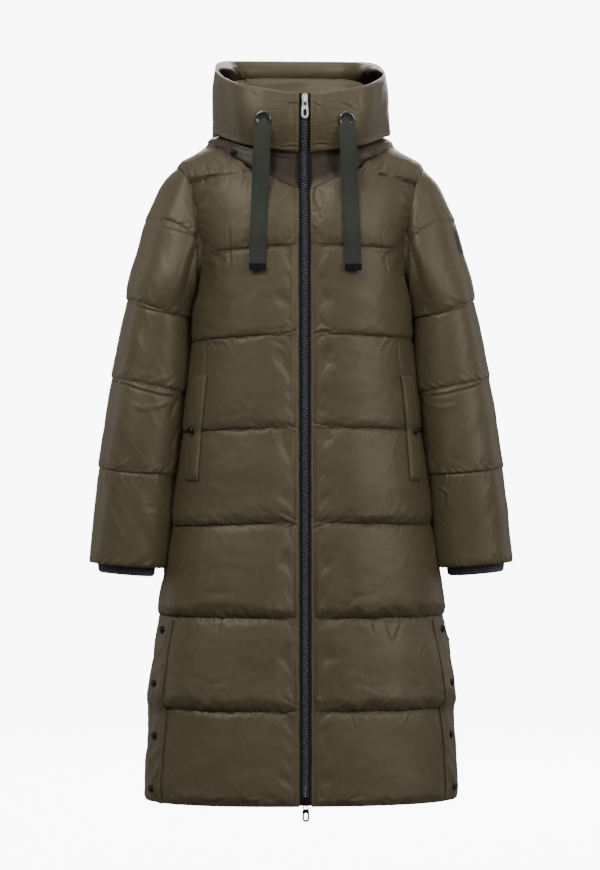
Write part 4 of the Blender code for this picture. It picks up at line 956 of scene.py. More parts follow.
# ---------------------------------------------------------------- hood and neck band
def curve_points(points, t):
    """Points of the even curve through all the given points, at an array of places."""
    points = np.asarray(points, float)
    spans = len(points) - 1
    place = np.clip(t, 0, 1) * spans
    index = np.minimum(place.astype(int), spans - 1)
    u = (place - index)[:, None]
    p1, p2 = points[index], points[index + 1]
    p0 = np.where((index > 0)[:, None], points[np.maximum(index - 1, 0)], 2 * p1 - p2)
    p3 = np.where((index + 2 <= spans)[:, None], points[np.minimum(index + 2, spans)], 2 * p2 - p1)
    return 0.5 * (p1 * 2 + (p2 - p0) * u + (p0 * 2 - p1 * 5 + p2 * 4 - p3) * u ** 2
                  + (p1 * 3 - p0 - p2 * 3 + p3) * u ** 3)


def hood_surface(shares, rows):
    """Half hood as rows from the neck seam (share 0) to the rim (share 1)."""
    runs = []
    for seam, rim, belly in HOOD_FRONT:
        start, stop = np.array(seam), np.array(rim)
        away = unit(np.array((start[0], start[1], 0.0)))
        knots = [mix(start, stop, k / 9) + away * belly * math.sin(math.pi * k / 9)
                 for k in range(10)]
        runs.append(curve_points(knots, rows))
    runs += [curve_points(run, rows) for run in HOOD_BACK]
    columns = []
    for share in shares:
        index = max(i for i in range(len(HOOD_PLACES) - 1) if share >= HOOD_PLACES[i] - 1e-9)
        u = (share - HOOD_PLACES[index]) / (HOOD_PLACES[index + 1] - HOOD_PLACES[index])
        p1, p2 = runs[index], runs[index + 1]
        p3 = runs[index + 2] if index + 2 < len(runs) else flip(runs[-2], -1)
        before = (p2 - runs[index - 1]) * 0.5 if index else p2 - p1
        after = (p3 - p1) * 0.5
        columns.append(p1 * (2 * u ** 3 - 3 * u ** 2 + 1) + before * (u ** 3 - 2 * u ** 2 + u)
                       + p2 * (3 * u ** 2 - 2 * u ** 3) + after * (u ** 3 - u ** 2))
    return np.stack(columns, 1)


def neckline(front, back, fine, back_fine, shoulder):
    """The left half of the neck edge, from the zip to the middle of the back."""
    rows, corner = len(front) - len(shoulder), NECK_COLUMNS * fine
    return np.concatenate((front[rows - 1, :corner + 1], front[rows:, corner],
                           back[-1, BACK_YOKE_COLUMNS * back_fine + 1:]))


CAD_NECK = neckline(CAD_FRONT, CAD_BACK, 1, 1, CAD_SHOULDER)
CAD_SHARES = run_shares(CAD_NECK)
NECK_SPACES = len(CAD_NECK) - 1
HOOD_SHARES = np.interp(np.arange(NECK_SPACES * HOOD_FINE + 1) / HOOD_FINE,
                        np.arange(NECK_SPACES + 1), CAD_SHARES)
ROUND_SHARES = np.concatenate((HOOD_SHARES, HOOD_SHARES[-2::-1]))[None, :]
HOOD_ROWS = HOOD_CAD_ROWS * HOOD_FINE
HOOD_STEPS = 1 - (1 - np.arange(HOOD_ROWS + 1) / HOOD_ROWS) ** 1.3


def whole(half):
    """Mirror a half grid (columns from the zip to the middle of the back) into a whole one."""
    return np.concatenate((flip(half, -1), half[:, -2::-1]), axis=1)


def ease(grid, rows, columns, times, weight=1.0):
    """Even out a block of a grid along its rows; the block's first and last column stay."""
    block = grid[rows, columns].copy()
    for _ in range(times):
        block[:, 1:-1] = 0.5 * block[:, 1:-1] + 0.25 * (block[:, :-2] + block[:, 2:])
    grid[rows, columns] = mix(grid[rows, columns], block, weight)


ease(FRONT, slice(len(FINE_ROWS), -1), slice(NECK_COLUMNS * FINE, None), 90)


def hood_panels(seed):
    """The hood's two sides and its middle, cut from one surface round the neck."""
    half = hood_surface(HOOD_SHARES, HOOD_STEPS)
    ease(half, slice(1, None), slice(0, None), 50,
         np.clip(HOOD_STEPS[1:] / 0.15, 0, 1)[:, None, None])
    half[:, 0, 0] = ZIP_EDGE_X
    half[:, -1, 0] = 0.0
    grid = whole(half)
    normals = outward(normals_of(grid), len(grid) // 3, 5 * HOOD_FINE, 1, -1)
    level = normals[0].copy()
    level[:, 2] = 0
    level = unit(level)
    normals[0] = level
    t = HOOD_STEPS[:, None]
    share = ROUND_SHARES
    front = 1 - np.clip((share - 0.47) / 0.10, 0, 1)
    flat = np.clip(t / 0.05, 0, 1) ** 0.5 * np.clip((1 - t) / 0.05, 0, 1) ** 0.5
    fill = mix(mix(0.0105, 0.0085, t), mix(0.0170, 0.0035, t), np.clip(share / 0.4, 0, 1)) * flat
    rear = 0.0110 * puff(np.clip((t - 0.62) / 0.38, 0, 1)) * step(0.60, 0.80, share)
    along = run_along(grid, 1)
    total = along[:, -1:]
    edge = mix(0.30, 1.0, step(0.0, 0.075, np.minimum(along, total - along)))
    corner = step(0.26, 0.44, share) * flat
    onward = np.arange(grid.shape[1])[None, :] > grid.shape[1] // 2
    corner = corner * step(0.0, 0.40, 1 - t)
    fill = fill + corner * (0.0026 + np.where(onward, 0.0036 * (1 - step(0.10, 0.50, t)), 0.0))
    height = 0.0008 + (fill * front + rear * (1 - front)) * edge
    seam, last = HOOD_SEAM_COLUMN * HOOD_FINE, 2 * NECK_SPACES * HOOD_FINE
    cuts = (("hood_side_right", 0, seam), ("hood_middle", seam, last - seam),
            ("hood_side_left", last - seam, last))
    panels = []
    for name, start, stop in cuts:
        part = slice(start, stop + 1)
        panel = Panel(name, grid[:, part].copy(), normals[:, part].copy())
        raised = height[:, part].copy()
        away = run_along(panel.grid, 1)
        if start:
            raised = np.minimum(raised, 0.0030 + away * 0.75)
        if stop < last:
            raised = np.minimum(raised, 0.0030 + (away[:, -1:] - away) * 0.75)
        panel.outer = panel.grid + panel.normals * raised[..., None]
        panel.held[0] = panel.held[-1] = True
        hold_columns(panel, 0.001 if start else 0.007, 0.007 if stop == last else 0.001)
        panel.places = np.stack((np.zeros(HOOD_ROWS + 1), HOOD_STEPS), 1)
        panel.along, panel.seed = away, seed + start
        panel.reach, panel.shrink = 0.0012, 0.0
        roll = np.sqrt(np.clip(1 - ((t - 0.980) / 0.022) ** 2, 0, 1))
        panel.depth = 0.004 + 0.022 * roll * step(0.47, 0.66, share[:, part])
        panel.keep_rows = tuple(np.flatnonzero((t[:, 0] > 0.93) | (np.abs(t[:, 0] - 0.24) < 0.09)))
        panels.append(panel)
    return panels, grid, level


def neck_band_panel(hood_grid, level, seed):
    """The gathered band between the neckline and the hood, drawn in and rumpled."""
    line = neckline(FRONT, BACK, FINE, BACK_FINE, FINE_SHOULDER)
    half = along_run(HOOD_SHARES, run_shares(line), line)
    half[-1, 0] = 0.0
    foot = whole(half[None])[0] + np.array((0, 0, SEAM_GAP))
    top = hood_grid[0] - np.array((0, 0, SEAM_GAP / 2))
    t = (np.arange(BAND_ROWS + 1) / BAND_ROWS)[:, None]
    run = run_along(foot[None], 1)
    gather = pucker(seed, run, t * 0.045, 0.060, 0.013, 0.6) * 0.0026
    gather += 0.0015 * lattice(seed + 1, run / 0.030, t * 2.2)
    side = step(0.12, 0.30, ROUND_SHARES) * (1 - step(0.55, 0.70, ROUND_SHARES))
    from_middle = 2 * t - 1
    swell = mix(-0.0040, 0.0200, side) * (1 - np.where(from_middle > 0, 0.6, 1.0)
                                          * np.abs(from_middle) ** 3.5)
    gather = gather * mix(0.25, 1.0, side)
    calm = np.sin(np.pi * t) ** 0.6
    grid = mix(foot, top, t[..., None])
    panel = Panel("neck_band", grid, np.broadcast_to(level, grid.shape).copy())
    panel.outer = grid + level * (swell + gather * calm + SHELL)[..., None]
    return panel


# ---------------------------------------------------------------- dressing a panel
SKINS = {}                    # the dressed outsides by name, to set things on
MISS_REACH = 0.3              # how far on a ray that misses its piece looks for the nearest place


def oriented(faces, points, normals):
    """Turn the quads so that they face along the normals."""
    flat, out = points.reshape(-1, 3), normals.reshape(-1, 3)
    middle = faces[len(faces) // 2]
    a, b, c, d = flat[middle]
    if np.dot(np.cross(c - a, d - b), out[middle[0]]) < 0:
        return faces[:, ::-1]
    return faces


def coarse_inside(panel, depth, skip):
    """The plain inside at every few points, and the fine line of its border."""
    rows, columns = panel.grid.shape[:2]
    keep_rows = sorted(set(range(0, rows, skip)) | {rows - 1} | set(panel.keep_rows))
    keep_columns = sorted(set(range(0, columns, skip)) | set(panel.keep_columns)
                          | (set() if panel.wrap else {columns - 1}))
    inner = panel.grid - panel.normals * np.broadcast_to(depth, (rows, columns))[..., None]
    chosen = np.ix_(keep_rows, keep_columns)
    mask = None
    if panel.mask is not None:
        mask = panel.mask[np.ix_(keep_rows[:-1], keep_columns[:-1])]
    faces = grid_faces(len(keep_rows), len(keep_columns), mask, panel.wrap)
    faces = oriented(faces, inner[chosen], panel.normals[chosen])[:, ::-1]
    return inner[chosen].reshape(-1, 3), faces, inner.reshape(-1, 3)


def dress(panel, depth, material, skip):
    """Turn a finished panel into its piece: fine outside, sewn rim and plain inside.

    The inside lies `depth` below the sewn surface and keeps every `skip`th row and column.
    """
    if panel.side < 0:
        panel.grid, panel.outer, panel.normals = (flip(table, -1) for table in (
            panel.grid, panel.outer, panel.normals))
    faces = oriented(panel.faces, panel.grid, panel.normals)
    outer = panel.outer.reshape(-1, 3)
    inside, inside_faces, inner = coarse_inside(panel, depth, skip)
    used = np.flatnonzero(panel.used())
    number = -np.ones(len(outer), int)
    number[used] = np.arange(len(used))
    edges = border_edges(faces)
    rim_ids = sorted({i for edge in edges for i in edge})
    rim_number = {i: len(used) + k for k, i in enumerate(rim_ids)}
    rim = [(number[b], number[a], rim_number[a], rim_number[b]) for a, b in edges]
    kept = np.unique(inside_faces)
    remap = -np.ones(len(inside), int)
    remap[kept] = np.arange(len(kept)) + len(used) + len(rim_ids)
    points = np.concatenate((outer[used], inner[rim_ids], inside[kept]))
    all_faces = number[faces].tolist() + rim + remap[inside_faces].tolist()
    item = piece(panel.name + "_cloth", points, all_faces, material)
    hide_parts(panel.name)
    SKINS[panel.name] = BVHTree.FromPolygons(outer.tolist(), faces.tolist())
    return item


def land(name, start, direction):
    """Where a ray meets a piece's outside: place and outward normal."""
    place, normal, _, _ = SKINS[name].ray_cast(Vector(start), Vector(direction))
    if place is None:
        place, normal, _, _ = SKINS[name].find_nearest(Vector(start) + Vector(direction) * MISS_REACH)
    normal = Vector(normal)
    if normal.dot(Vector(direction)) > 0:
        normal = -normal
    return np.array(place), np.array(normal)


# ---------------------------------------------------------------- small solids
UP = np.array((0.0, 0.0, 1.0))
BAR_TOP = 0.62                # width of a small bar's top, as a share of its foot
BAR_FACES = ((0, 3, 2, 1), (4, 5, 6, 7), (0, 1, 5, 4), (1, 2, 6, 5), (2, 3, 7, 6), (3, 0, 4, 7))
THREAD_HEIGHT = 0.00045
# pitch and length of the dashes and width of the thread
WELT_STITCH = {"pitch": 0.0034, "length": 0.0024, "width": 0.0006}
TAPE_STITCH = {"pitch": 0.0034, "length": 0.0024, "width": 0.0005}
BADGE_STITCH = {"pitch": 0.0016, "length": 0.0012, "width": 0.0005}
SEAM_STITCH = {"pitch": 0.0036, "length": 0.0026, "width": 0.0007, "sink": 0.0001}
ZIP_STITCH = {"pitch": 0.0034, "length": 0.0025, "width": 0.0007, "sink": 0.0001}
STITCHES = []                 # corners of all the dashes of olive thread
STITCHES_TAPE = []            # and of those on the draw tapes


def corners_of(node):
    """The low and the high corner of a solid's box."""
    return (np.array(corner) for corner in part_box(node))


def turned(name, profile, centre, normal, material, count=40):
    """A fitting set on a place of the cloth: a profile (radius, height) turned about its normal."""
    out = unit(np.asarray(normal, float))
    right = unit(np.cross(UP, out))
    up = np.cross(out, right)
    angle = 2 * np.pi * np.arange(count) / count
    points = np.array([(r * math.cos(a), r * math.sin(a), h) for r, h in profile for a in angle])
    placed = (np.asarray(centre) + points[:, :1] * right + points[:, 1:2] * up
              + points[:, 2:] * out)
    return piece(name, placed, tube_faces(len(profile), count), material)


def bar_points(centre, along, across, out, length, width, height):
    """Eight corners of a small bar with a narrower top."""
    result = []
    for sz, wide in ((0.0, 1.0), (1.0, BAR_TOP)):
        for sx, sy in ((-1, -1), (1, -1), (1, 1), (-1, 1)):
            result.append(centre + along * (length / 2 * sx * mix(1.0, wide, 0.6))
                          + across * (width / 2 * sy * wide) + out * (height * sz))
    return result


def stitch_run(points, normals, pitch, length, width, sink=0.0):
    """Corner points of thread dashes along a line on the cloth."""
    run = run_of(points)
    result = []
    for place in np.arange(pitch / 2, run[-1] - pitch / 2, pitch):
        centre = along_run(place, run, points)
        out = unit(along_run(place, run, normals))
        along = unit(along_run(place + length / 2, run, points)
                     - along_run(place - length / 2, run, points))
        across = unit(np.cross(out, along))
        result += bar_points(centre - out * sink, along, across, out, length, width, THREAD_HEIGHT)
    return result


def edge_stitches(outer, normals, stitch, ends=True):
    """Stitches just inside both long edges of a band, and inside its ends."""
    lines = [(slice(1, -1), column) for column in (1, -2)]
    if ends:
        lines += [(row, slice(1, -1)) for row in (1, -2)]
    return [corner for line in lines for corner in stitch_run(outer[line], normals[line], **stitch)]


def bars_piece(name, corners, material):
    """All the small bars of one kind as one joined mesh."""
    faces = [tuple(8 * k + i for i in face) for k in range(len(corners) // 8) for face in BAR_FACES]
    piece(name, corners, faces, material, smooth=False)


# ---------------------------------------------------------------- zip
def zip_depths():
    """Height and depth of the zip's backing line, as in the solids."""
    last = len(CAD_ROWS) + len(CAD_YOKE)
    points = [CAD_FRONT[row, 0] for row in range(0, last, 2)]
    if (last - 1) % 2:
        points.append(CAD_FRONT[last - 1, 0])
    low = CAD_FRONT[last - 1, 0]
    hood = hood_surface(CAD_SHARES[:2], np.arange(HOOD_CAD_ROWS + 1) / HOOD_CAD_ROWS)[:, 0]
    for t in (0.28, 0.62):
        points.append(mix(low, hood[0], t) + np.array((0, -math.sin(math.pi * t) * 0.003, 0)))
    points += [hood[row] for row in range(0, HOOD_CAD_ROWS + 1, 3)]
    return np.array([(p[2], p[1]) for p in points])


ZIP = zip_depths()
ZIP_BOTTOM, ZIP_TOP = -1.056, ZIP[-1, 0] - 0.0015
# one tape from its sewn edge to the middle of the zip: distance from the middle, and depth
ZIP_PROFILE = ((0.0099, 0.0002), (0.0099, -0.0004), (0.0092, -0.0011), (0.0086, -0.0014),
               (0.0062, -0.0013), (0.0050, -0.0015), (0.0036, -0.0018), (0.0020, -0.0016),
               (0.0003, -0.0010), (SEAM_GAP / 2, 0.0))
TOOTH_PITCH = 0.0042
TEETH_TOP = 0.0885


def zip_y(z):
    """Depth of the zip's backing line at a height."""
    return np.interp(z, ZIP[:, 0], ZIP[:, 1])


def zip_tapes():
    """Two woven tapes, each with a cord edge and its row of moulded teeth."""
    heights = np.linspace(ZIP_BOTTOM, ZIP_TOP, ZIP_STEPS)
    for side, label in SIDES:
        rings = []
        for z in heights:
            wobble = 0.00025 * math.sin(z * 61 + side) + 0.0002 * math.sin(z * 143)
            rings += [(x * side, zip_y(z) + d + wobble * (x / 0.009), z) for x, d in ZIP_PROFILE]
        tape = piece("zip_tape_cloth_" + label, rings, tube_faces(len(heights), len(ZIP_PROFILE)),
                     ZIP_CLOTH)
        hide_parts("zip_tape_" + label)
        teeth_piece(side, label)


def teeth_piece(side, label):
    """Moulded teeth: a block clamped on the tape and a head that meshes."""
    low = ZIP_BOTTOM + 0.004
    across, out = np.array((1.0, 0, 0)), np.array((0, -1.0, 0))
    corners = []
    for k in range(int((TEETH_TOP - low) / TOOTH_PITCH)):
        z = low + TOOTH_PITCH * (k + (0.5 if side > 0 else 0.0))
        y = zip_y(z) - 0.0016
        corners += bar_points(np.array((0.0030 * side, y, z)), UP, across, out,
                              0.0022, 0.0026, 0.0021)
        corners += bar_points(np.array((0.0009 * side, y + 0.0004, z)), UP, across, out,
                              0.0020, 0.0028, 0.0018)
    bars_piece("zip_teeth_" + label, corners, GLINT_TEETH)


# ---------------------------------------------------------------- trims on the cloth
RUMPLE_ROW = 0.0049           # length along a rumpled band from row to row


def strip(name, skin, centres, spread, direction, thick, lift, material, node, columns=14,
          bow=0.0, rumple=0.0):
    """A sewn band that follows a panel's outside; returns it with its outside and normals."""
    rows = len(centres)
    grid = np.zeros((rows, columns + 1, 3))
    normals = np.zeros_like(grid)
    for r, centre in enumerate(centres):
        for c in range(columns + 1):
            start = centre + spread * (c / columns - 0.5)
            grid[r, c], normals[r, c] = land(skin, start, direction)
    grid = blur(grid, 6)
    smooth = normals_of(grid)
    turn = np.sign(np.sum(smooth * normals, axis=2, keepdims=True))
    smooth = smooth * np.where(turn == 0, 1, turn)
    across = np.linspace(-1, 1, columns + 1)[None, :]
    down = np.linspace(-1, 1, rows)[:, None]
    crown = bow * (1 - across ** 2) * (1 - down ** 8)
    length = np.arange(rows)[:, None] * RUMPLE_ROW
    crown = crown + rumple * lattice(rows + columns, (length + across * 0.012) / 0.026, across * 1.4)
    ridge = 1 - np.abs(lattice(7, (length - across * 0.020) / 0.034, across * 0.9))
    crown = crown + rumple * 1.2 * ridge ** 6
    edge = 1 - 0.75 * np.maximum(np.abs(across) ** 14, np.abs(down) ** 30)
    outer = grid + smooth * (lift + thick * edge + crown)[..., None]
    inner = grid + smooth * (lift - 0.0004)
    faces = oriented(grid_faces(rows, columns + 1), grid, smooth)
    points, all_faces = wall(outer.reshape(-1, 3), inner.reshape(-1, 3), faces)
    item = piece(name, points, all_faces, material)
    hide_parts(node)
    SKINS[name] = BVHTree.FromPolygons(outer.reshape(-1, 3).tolist(), faces.tolist())
    return item, outer, smooth


# how much lower than its solid a snap is set, as in the photo, and how far it stands proud
SNAP_LOWER = {"pocket": 0.004, "neck": 0.006, "vent": 0.0}
SNAP_RISE = {"pocket": 0.0026, "neck": 0.0004, "vent": 0.0004}
# share of the radius, and height, from the middle of the foot over the rim to the top
SNAP_PROFILE = ((0.0, -0.0006), (1.0, -0.0006), (1.0, 0.0006), (0.97, 0.0012), (0.90, 0.0016),
                (0.80, 0.0015), (0.74, 0.0011), (0.66, 0.0010), (0.60, 0.0014), (0.45, 0.0020),
                (0.22, 0.0023), (0.0, 0.00235))


def snap(node, skin, direction):
    """A press snap cap: rolled rim, ditch and a low dome, set where the solids have it."""
    low, high = corners_of(node)
    centre, radius, kind = (low + high) / 2, (high[2] - low[2]) / 2, node.split("_")[0]
    centre[2] -= SNAP_LOWER[kind]
    place, normal = land(skin, centre - np.asarray(direction) * 0.1, direction)
    inward = unit(np.asarray(direction, float))
    normal = unit(normal * 0.35 - inward * 0.65)
    place = place - inward * SNAP_RISE[kind]
    profile = [(max(r, 0.002) * radius, h) for r, h in SNAP_PROFILE]
    item = turned(node + "_cap", profile, place + normal * 0.0002, normal, SNAP_METAL)
    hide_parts(node)


# ---------------------------------------------------------------- draw tapes
TAPE_STEPS = 84
TAPE_COLUMNS = 12
TAPE_HALF = 0.0007            # half thickness
TAPE_CLEAR = 0.0022           # between the tape's middle and the cloth behind it
# by length from the eyelet: width of the tape, and how far it is cupped
TAPE_WIDTHS = ((0, 0.002, 0.007, 0.013, 0.019, 0.03, 1),
               (0.0030, 0.0062, 0.0140, 0.0215, 0.0258, TAPE_WIDTH, TAPE_WIDTH))
TAPE_CUP = ((0, 0.006, 0.020, 0.05, 0.10, 1), (0.0008, 0.0018, 0.0012, 0.0006, 0.0004, 0.0004))


def tape_route(side, label):
    """The tape's middle line through given knots: out of its eyelet, over the rim and down in front.
    """
    tape_low, _ = corners_of("draw_tape_" + label)
    mouth, _ = eyelet_place(label)
    front = mouth[1] - 0.0062
    length = mouth[2] - tape_low[2]
    knots = np.array([
        mouth + (-0.0020 * side, -0.0004, 0.0022), mouth + (-0.0016 * side, -0.0022, -0.0010),
        mouth + (-0.0010 * side, -0.0044, -0.0055),
        (mouth[0] - 0.0002 * side, front, mouth[2] - 0.014),
        (mouth[0] + 0.0015 * side, front - 0.0030, mouth[2] - 0.032),
        (mouth[0] + 0.0025 * side, front - 0.0035, mouth[2] - 0.060),
        (mouth[0] + 0.0040 * side, front - 0.0022, mouth[2] - 0.095),
        (mouth[0] + 0.0060 * side, front - 0.0012, mouth[2] - 0.140),
        (mouth[0] + 0.0080 * side, front - 0.0018, mouth[2] - 0.190),
        (mouth[0] + 0.0090 * side, front - 0.0026, mouth[2] - length)])
    path = even(curve_points(knots, np.linspace(0, 1, 90)), TAPE_STEPS)
    for point in path[6:]:
        for name in ("hood_side_" + label, "neck_band", "front_" + label):
            for shift in (-0.012, 0.0, 0.012):
                hit = SKINS[name].ray_cast(Vector((point[0] + shift, AHEAD, point[2])),
                                           Vector(FROM_FRONT))[0]
                if hit is not None:
                    point[1] = min(point[1], hit[1] - TAPE_CLEAR)
    for _ in range(30):
        path[4:-1, 1] = np.minimum(path[4:-1, 1], (path[3:-2, 1] + path[5:, 1]) / 2)
    return even(path, TAPE_STEPS)


def draw_tape(side, label, seed):
    """Flat woven tape: gathered through the eyelet, peaked over its rim, then hanging flat."""
    path = tape_route(side, label)
    run = run_of(path)
    widths, cup = np.interp(run, *TAPE_WIDTHS), np.interp(run, *TAPE_CUP)
    ahead = unit(np.gradient(path, axis=0))
    face = unit(np.cross(ahead, np.array((1.0, 0, 0))))
    face = np.where(face[:, 1:2] > 0, -face, face)
    across = unit(np.cross(face, ahead))
    across = np.where(across[:, :1] < 0, -across, across)
    u = np.linspace(-1, 1, TAPE_COLUMNS + 1)
    wave_low = 0.0010 * np.sin(run * 34 + seed) * step(0.05, 0.10, run)
    twist = 0.06 * np.sin(run * 21 + seed * 2) * step(0.03, 0.12, run)
    grid = (path[:, None] + across[:, None] * (u[None, :, None] * widths[:, None, None] / 2)
            + face[:, None] * ((wave_low[:, None] + cup[:, None] * (1 - 2 * u ** 2)[None, :]
                                + twist[:, None] * u[None] * widths[:, None] / 2)[..., None]))
    normals = outward(normals_of(grid), 40, 6, 1, -1)
    edge = np.where(np.abs(u) > 0.90, 0.0003, 0.0)[None, :]
    groove = -0.00025 * np.exp(-((np.abs(u) - 0.80) / 0.05) ** 2)[None, :]
    outer = grid + normals * (TAPE_HALF + edge + groove)[..., None]
    inner = grid - normals * (TAPE_HALF + edge)[..., None]
    faces = oriented(grid_faces(*grid.shape[:2]), grid, normals)
    points, all_faces = wall(outer.reshape(-1, 3), inner.reshape(-1, 3), faces)
    tape = piece("draw_tape_cloth_" + label, points, all_faces, WEBBING)
    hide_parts("draw_tape_" + label)
    for column in (1, TAPE_COLUMNS - 1):
        STITCHES_TAPE.extend(stitch_run(outer[6:-4, column], normals[6:-4, column], **TAPE_STITCH))
    return tape, path, float(run[-1])


def tape_tip(label):
    """Folded black end with a seam across it."""
    low, high = corners_of("tape_tip_" + label)
    middle = (low + high) / 2
    columns, rows = 12, 10
    u = np.linspace(-1, 1, columns + 1)[None, :]
    v = np.linspace(0, 1, rows + 1)[:, None]
    x = middle[0] + u * (high[0] - low[0]) / 2 * (1 - 0.02 * v) + 0 * v
    z = high[2] - v * (high[2] - low[2]) + 0.0004 * u ** 2
    half = (high[1] - low[1]) / 2 * (1 - 0.35 * np.abs(u) ** 8) * (1 - 0.3 * (2 * v - 1) ** 8)
    seam = 0.0003 * np.exp(-((v - 0.18) / 0.06) ** 2)
    y = middle[1] - half - 0.0004 + seam
    outer = np.stack((x + 0 * v, y + 0 * x, z + 0 * x), 2)
    inner = outer.copy()
    inner[..., 1] = middle[1] + half + 0.0002
    normals = np.zeros_like(outer)
    normals[..., 1] = -1
    faces = oriented(grid_faces(rows + 1, columns + 1), outer, normals)
    points, all_faces = wall(outer.reshape(-1, 3), inner.reshape(-1, 3), faces)
    item = piece("tape_tip_cloth_" + label, points, all_faces, TAPE_END)
    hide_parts("tape_tip_" + label)
    return item


# ---------------------------------------------------------------- cuffs
CUFF_RIBS = 62
CUFF_POINTS = 720
CUFF_THICK = 0.0026
CUFF_INWARD = 0.0030          # the cuff is set nearer to the coat's middle than its sleeve
# for each row downwards: drop below the sleeve's end, share of its size, and lift of the ribs
CUFF_ROWS = ((-0.006, 0.83, -0.001), (0.0, 0.845, 0.0), (0.004, 0.842, 0.0), (0.0085, 0.832, 0.0),
             (0.0118, 0.820, 0.0), (0.0142, 0.810, -0.0006), (0.0150, 0.800, -0.0018))


def cuff(side, label):
    """Rib knit band of upright ribs, turned under at its end."""
    ring_points = sleeve_station(SLEEVE_STATIONS[-1], CUFF_POINTS)
    middle = ring_points.mean(0)
    run = run_of(np.concatenate((ring_points, ring_points[:1])))
    rib = 0.0011 * np.abs(np.sin(np.pi * run[:-1] / run[-1] * CUFF_RIBS)) ** 0.55

    def level_out(points):
        return unit((points - middle) * np.array((1, 1, 0)))

    rows = []
    for drop, squeeze, lift in CUFF_ROWS:
        line = (middle + (ring_points - middle) * squeeze
                - np.array((CUFF_INWARD, 0, drop + SEAM_GAP)))
        rows.append(line + level_out(line) * (rib + lift)[:, None])
    rows = np.array(rows)
    normals = level_out(rows)
    outer, inner = flip(rows, side), flip(rows - normals * CUFF_THICK, side)
    faces = oriented(grid_faces(len(rows), CUFF_POINTS, wrap=True), outer, flip(normals, side))
    points, all_faces = wall(outer.reshape(-1, 3), inner.reshape(-1, 3), faces)
    item = piece("cuff_knit_" + label, points, all_faces, KNIT)
    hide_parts("cuff_" + label)


# ---------------------------------------------------------------- finishing a filled panel
def renew_normals(panel):
    """Normals of a panel's outside as it is now, on the same side as before."""
    fresh = normals_of(panel.outer, panel.mask, panel.wrap)
    turn = np.sign(np.sum(fresh * panel.normals))
    return fresh * turn


def crumple(panel, strength):
    """Small soft dents and ridges over the whole filled face."""
    rows = run_along(panel.grid, 0)
    lean = panel.along + rows * 0.35
    value = 1.0 * lattice(panel.seed + 21, lean / 0.060, rows / 0.034)
    value += 0.25 * lattice(panel.seed + 22, (panel.along - rows * 0.6) / 0.022, rows / 0.016)
    ridge = 1 - np.abs(lattice(panel.seed + 23, (panel.along - rows * 0.8) / 0.050,
                               (rows + panel.along * 0.3) / 0.020))
    value += 0.5 * (ridge ** 5 - 0.2)
    return value * strength


PUCKER, CRUMPLE, HOOD_CRUMPLE = 0.0019, 0.0009, 0.0004
SEAM_SHARE = 0.12             # how much of the gathers and dents reaches the seam itself


def add_puckers(panel, down=False, fade=1.0):
    """Gather and dent the outside; `down` says that the rows run down from the top."""
    normals = renew_normals(panel)
    lift = body_puckers(panel, panel.places, panel.along, panel.seed, PUCKER, down)
    lift += crumple(panel, CRUMPLE) * (puff(panel.places[:, 1:]) ** 0.6)
    lift[panel.places[:, 1] == 0] *= SEAM_SHARE
    panel.outer = panel.outer + normals * (lift * fade)[..., None]


def body_fade(panel, zip_edge):
    """0 on a panel's side edges and 1 away from them; a zip edge stays plain further in."""
    left = panel.along
    right = panel.along[:, -1:] - panel.along
    fade = step(0.0, 0.006, left) * step(0.0, 0.006, right)
    if zip_edge:
        fade = fade * step(0.0020, 0.0150, left)
    return fade


def seam_lines(panel):
    """Thread along each level seam of a dressed panel."""
    normals = renew_normals(panel)
    for row in np.flatnonzero(panel.places[:, 1] == 0)[1:]:
        line, out = panel.outer[row], normals[row]
        if panel.wrap:
            line, out = np.concatenate((line, line[:1])), np.concatenate((out, out[:1]))
        STITCHES.extend(stitch_run(line, out, **SEAM_STITCH))


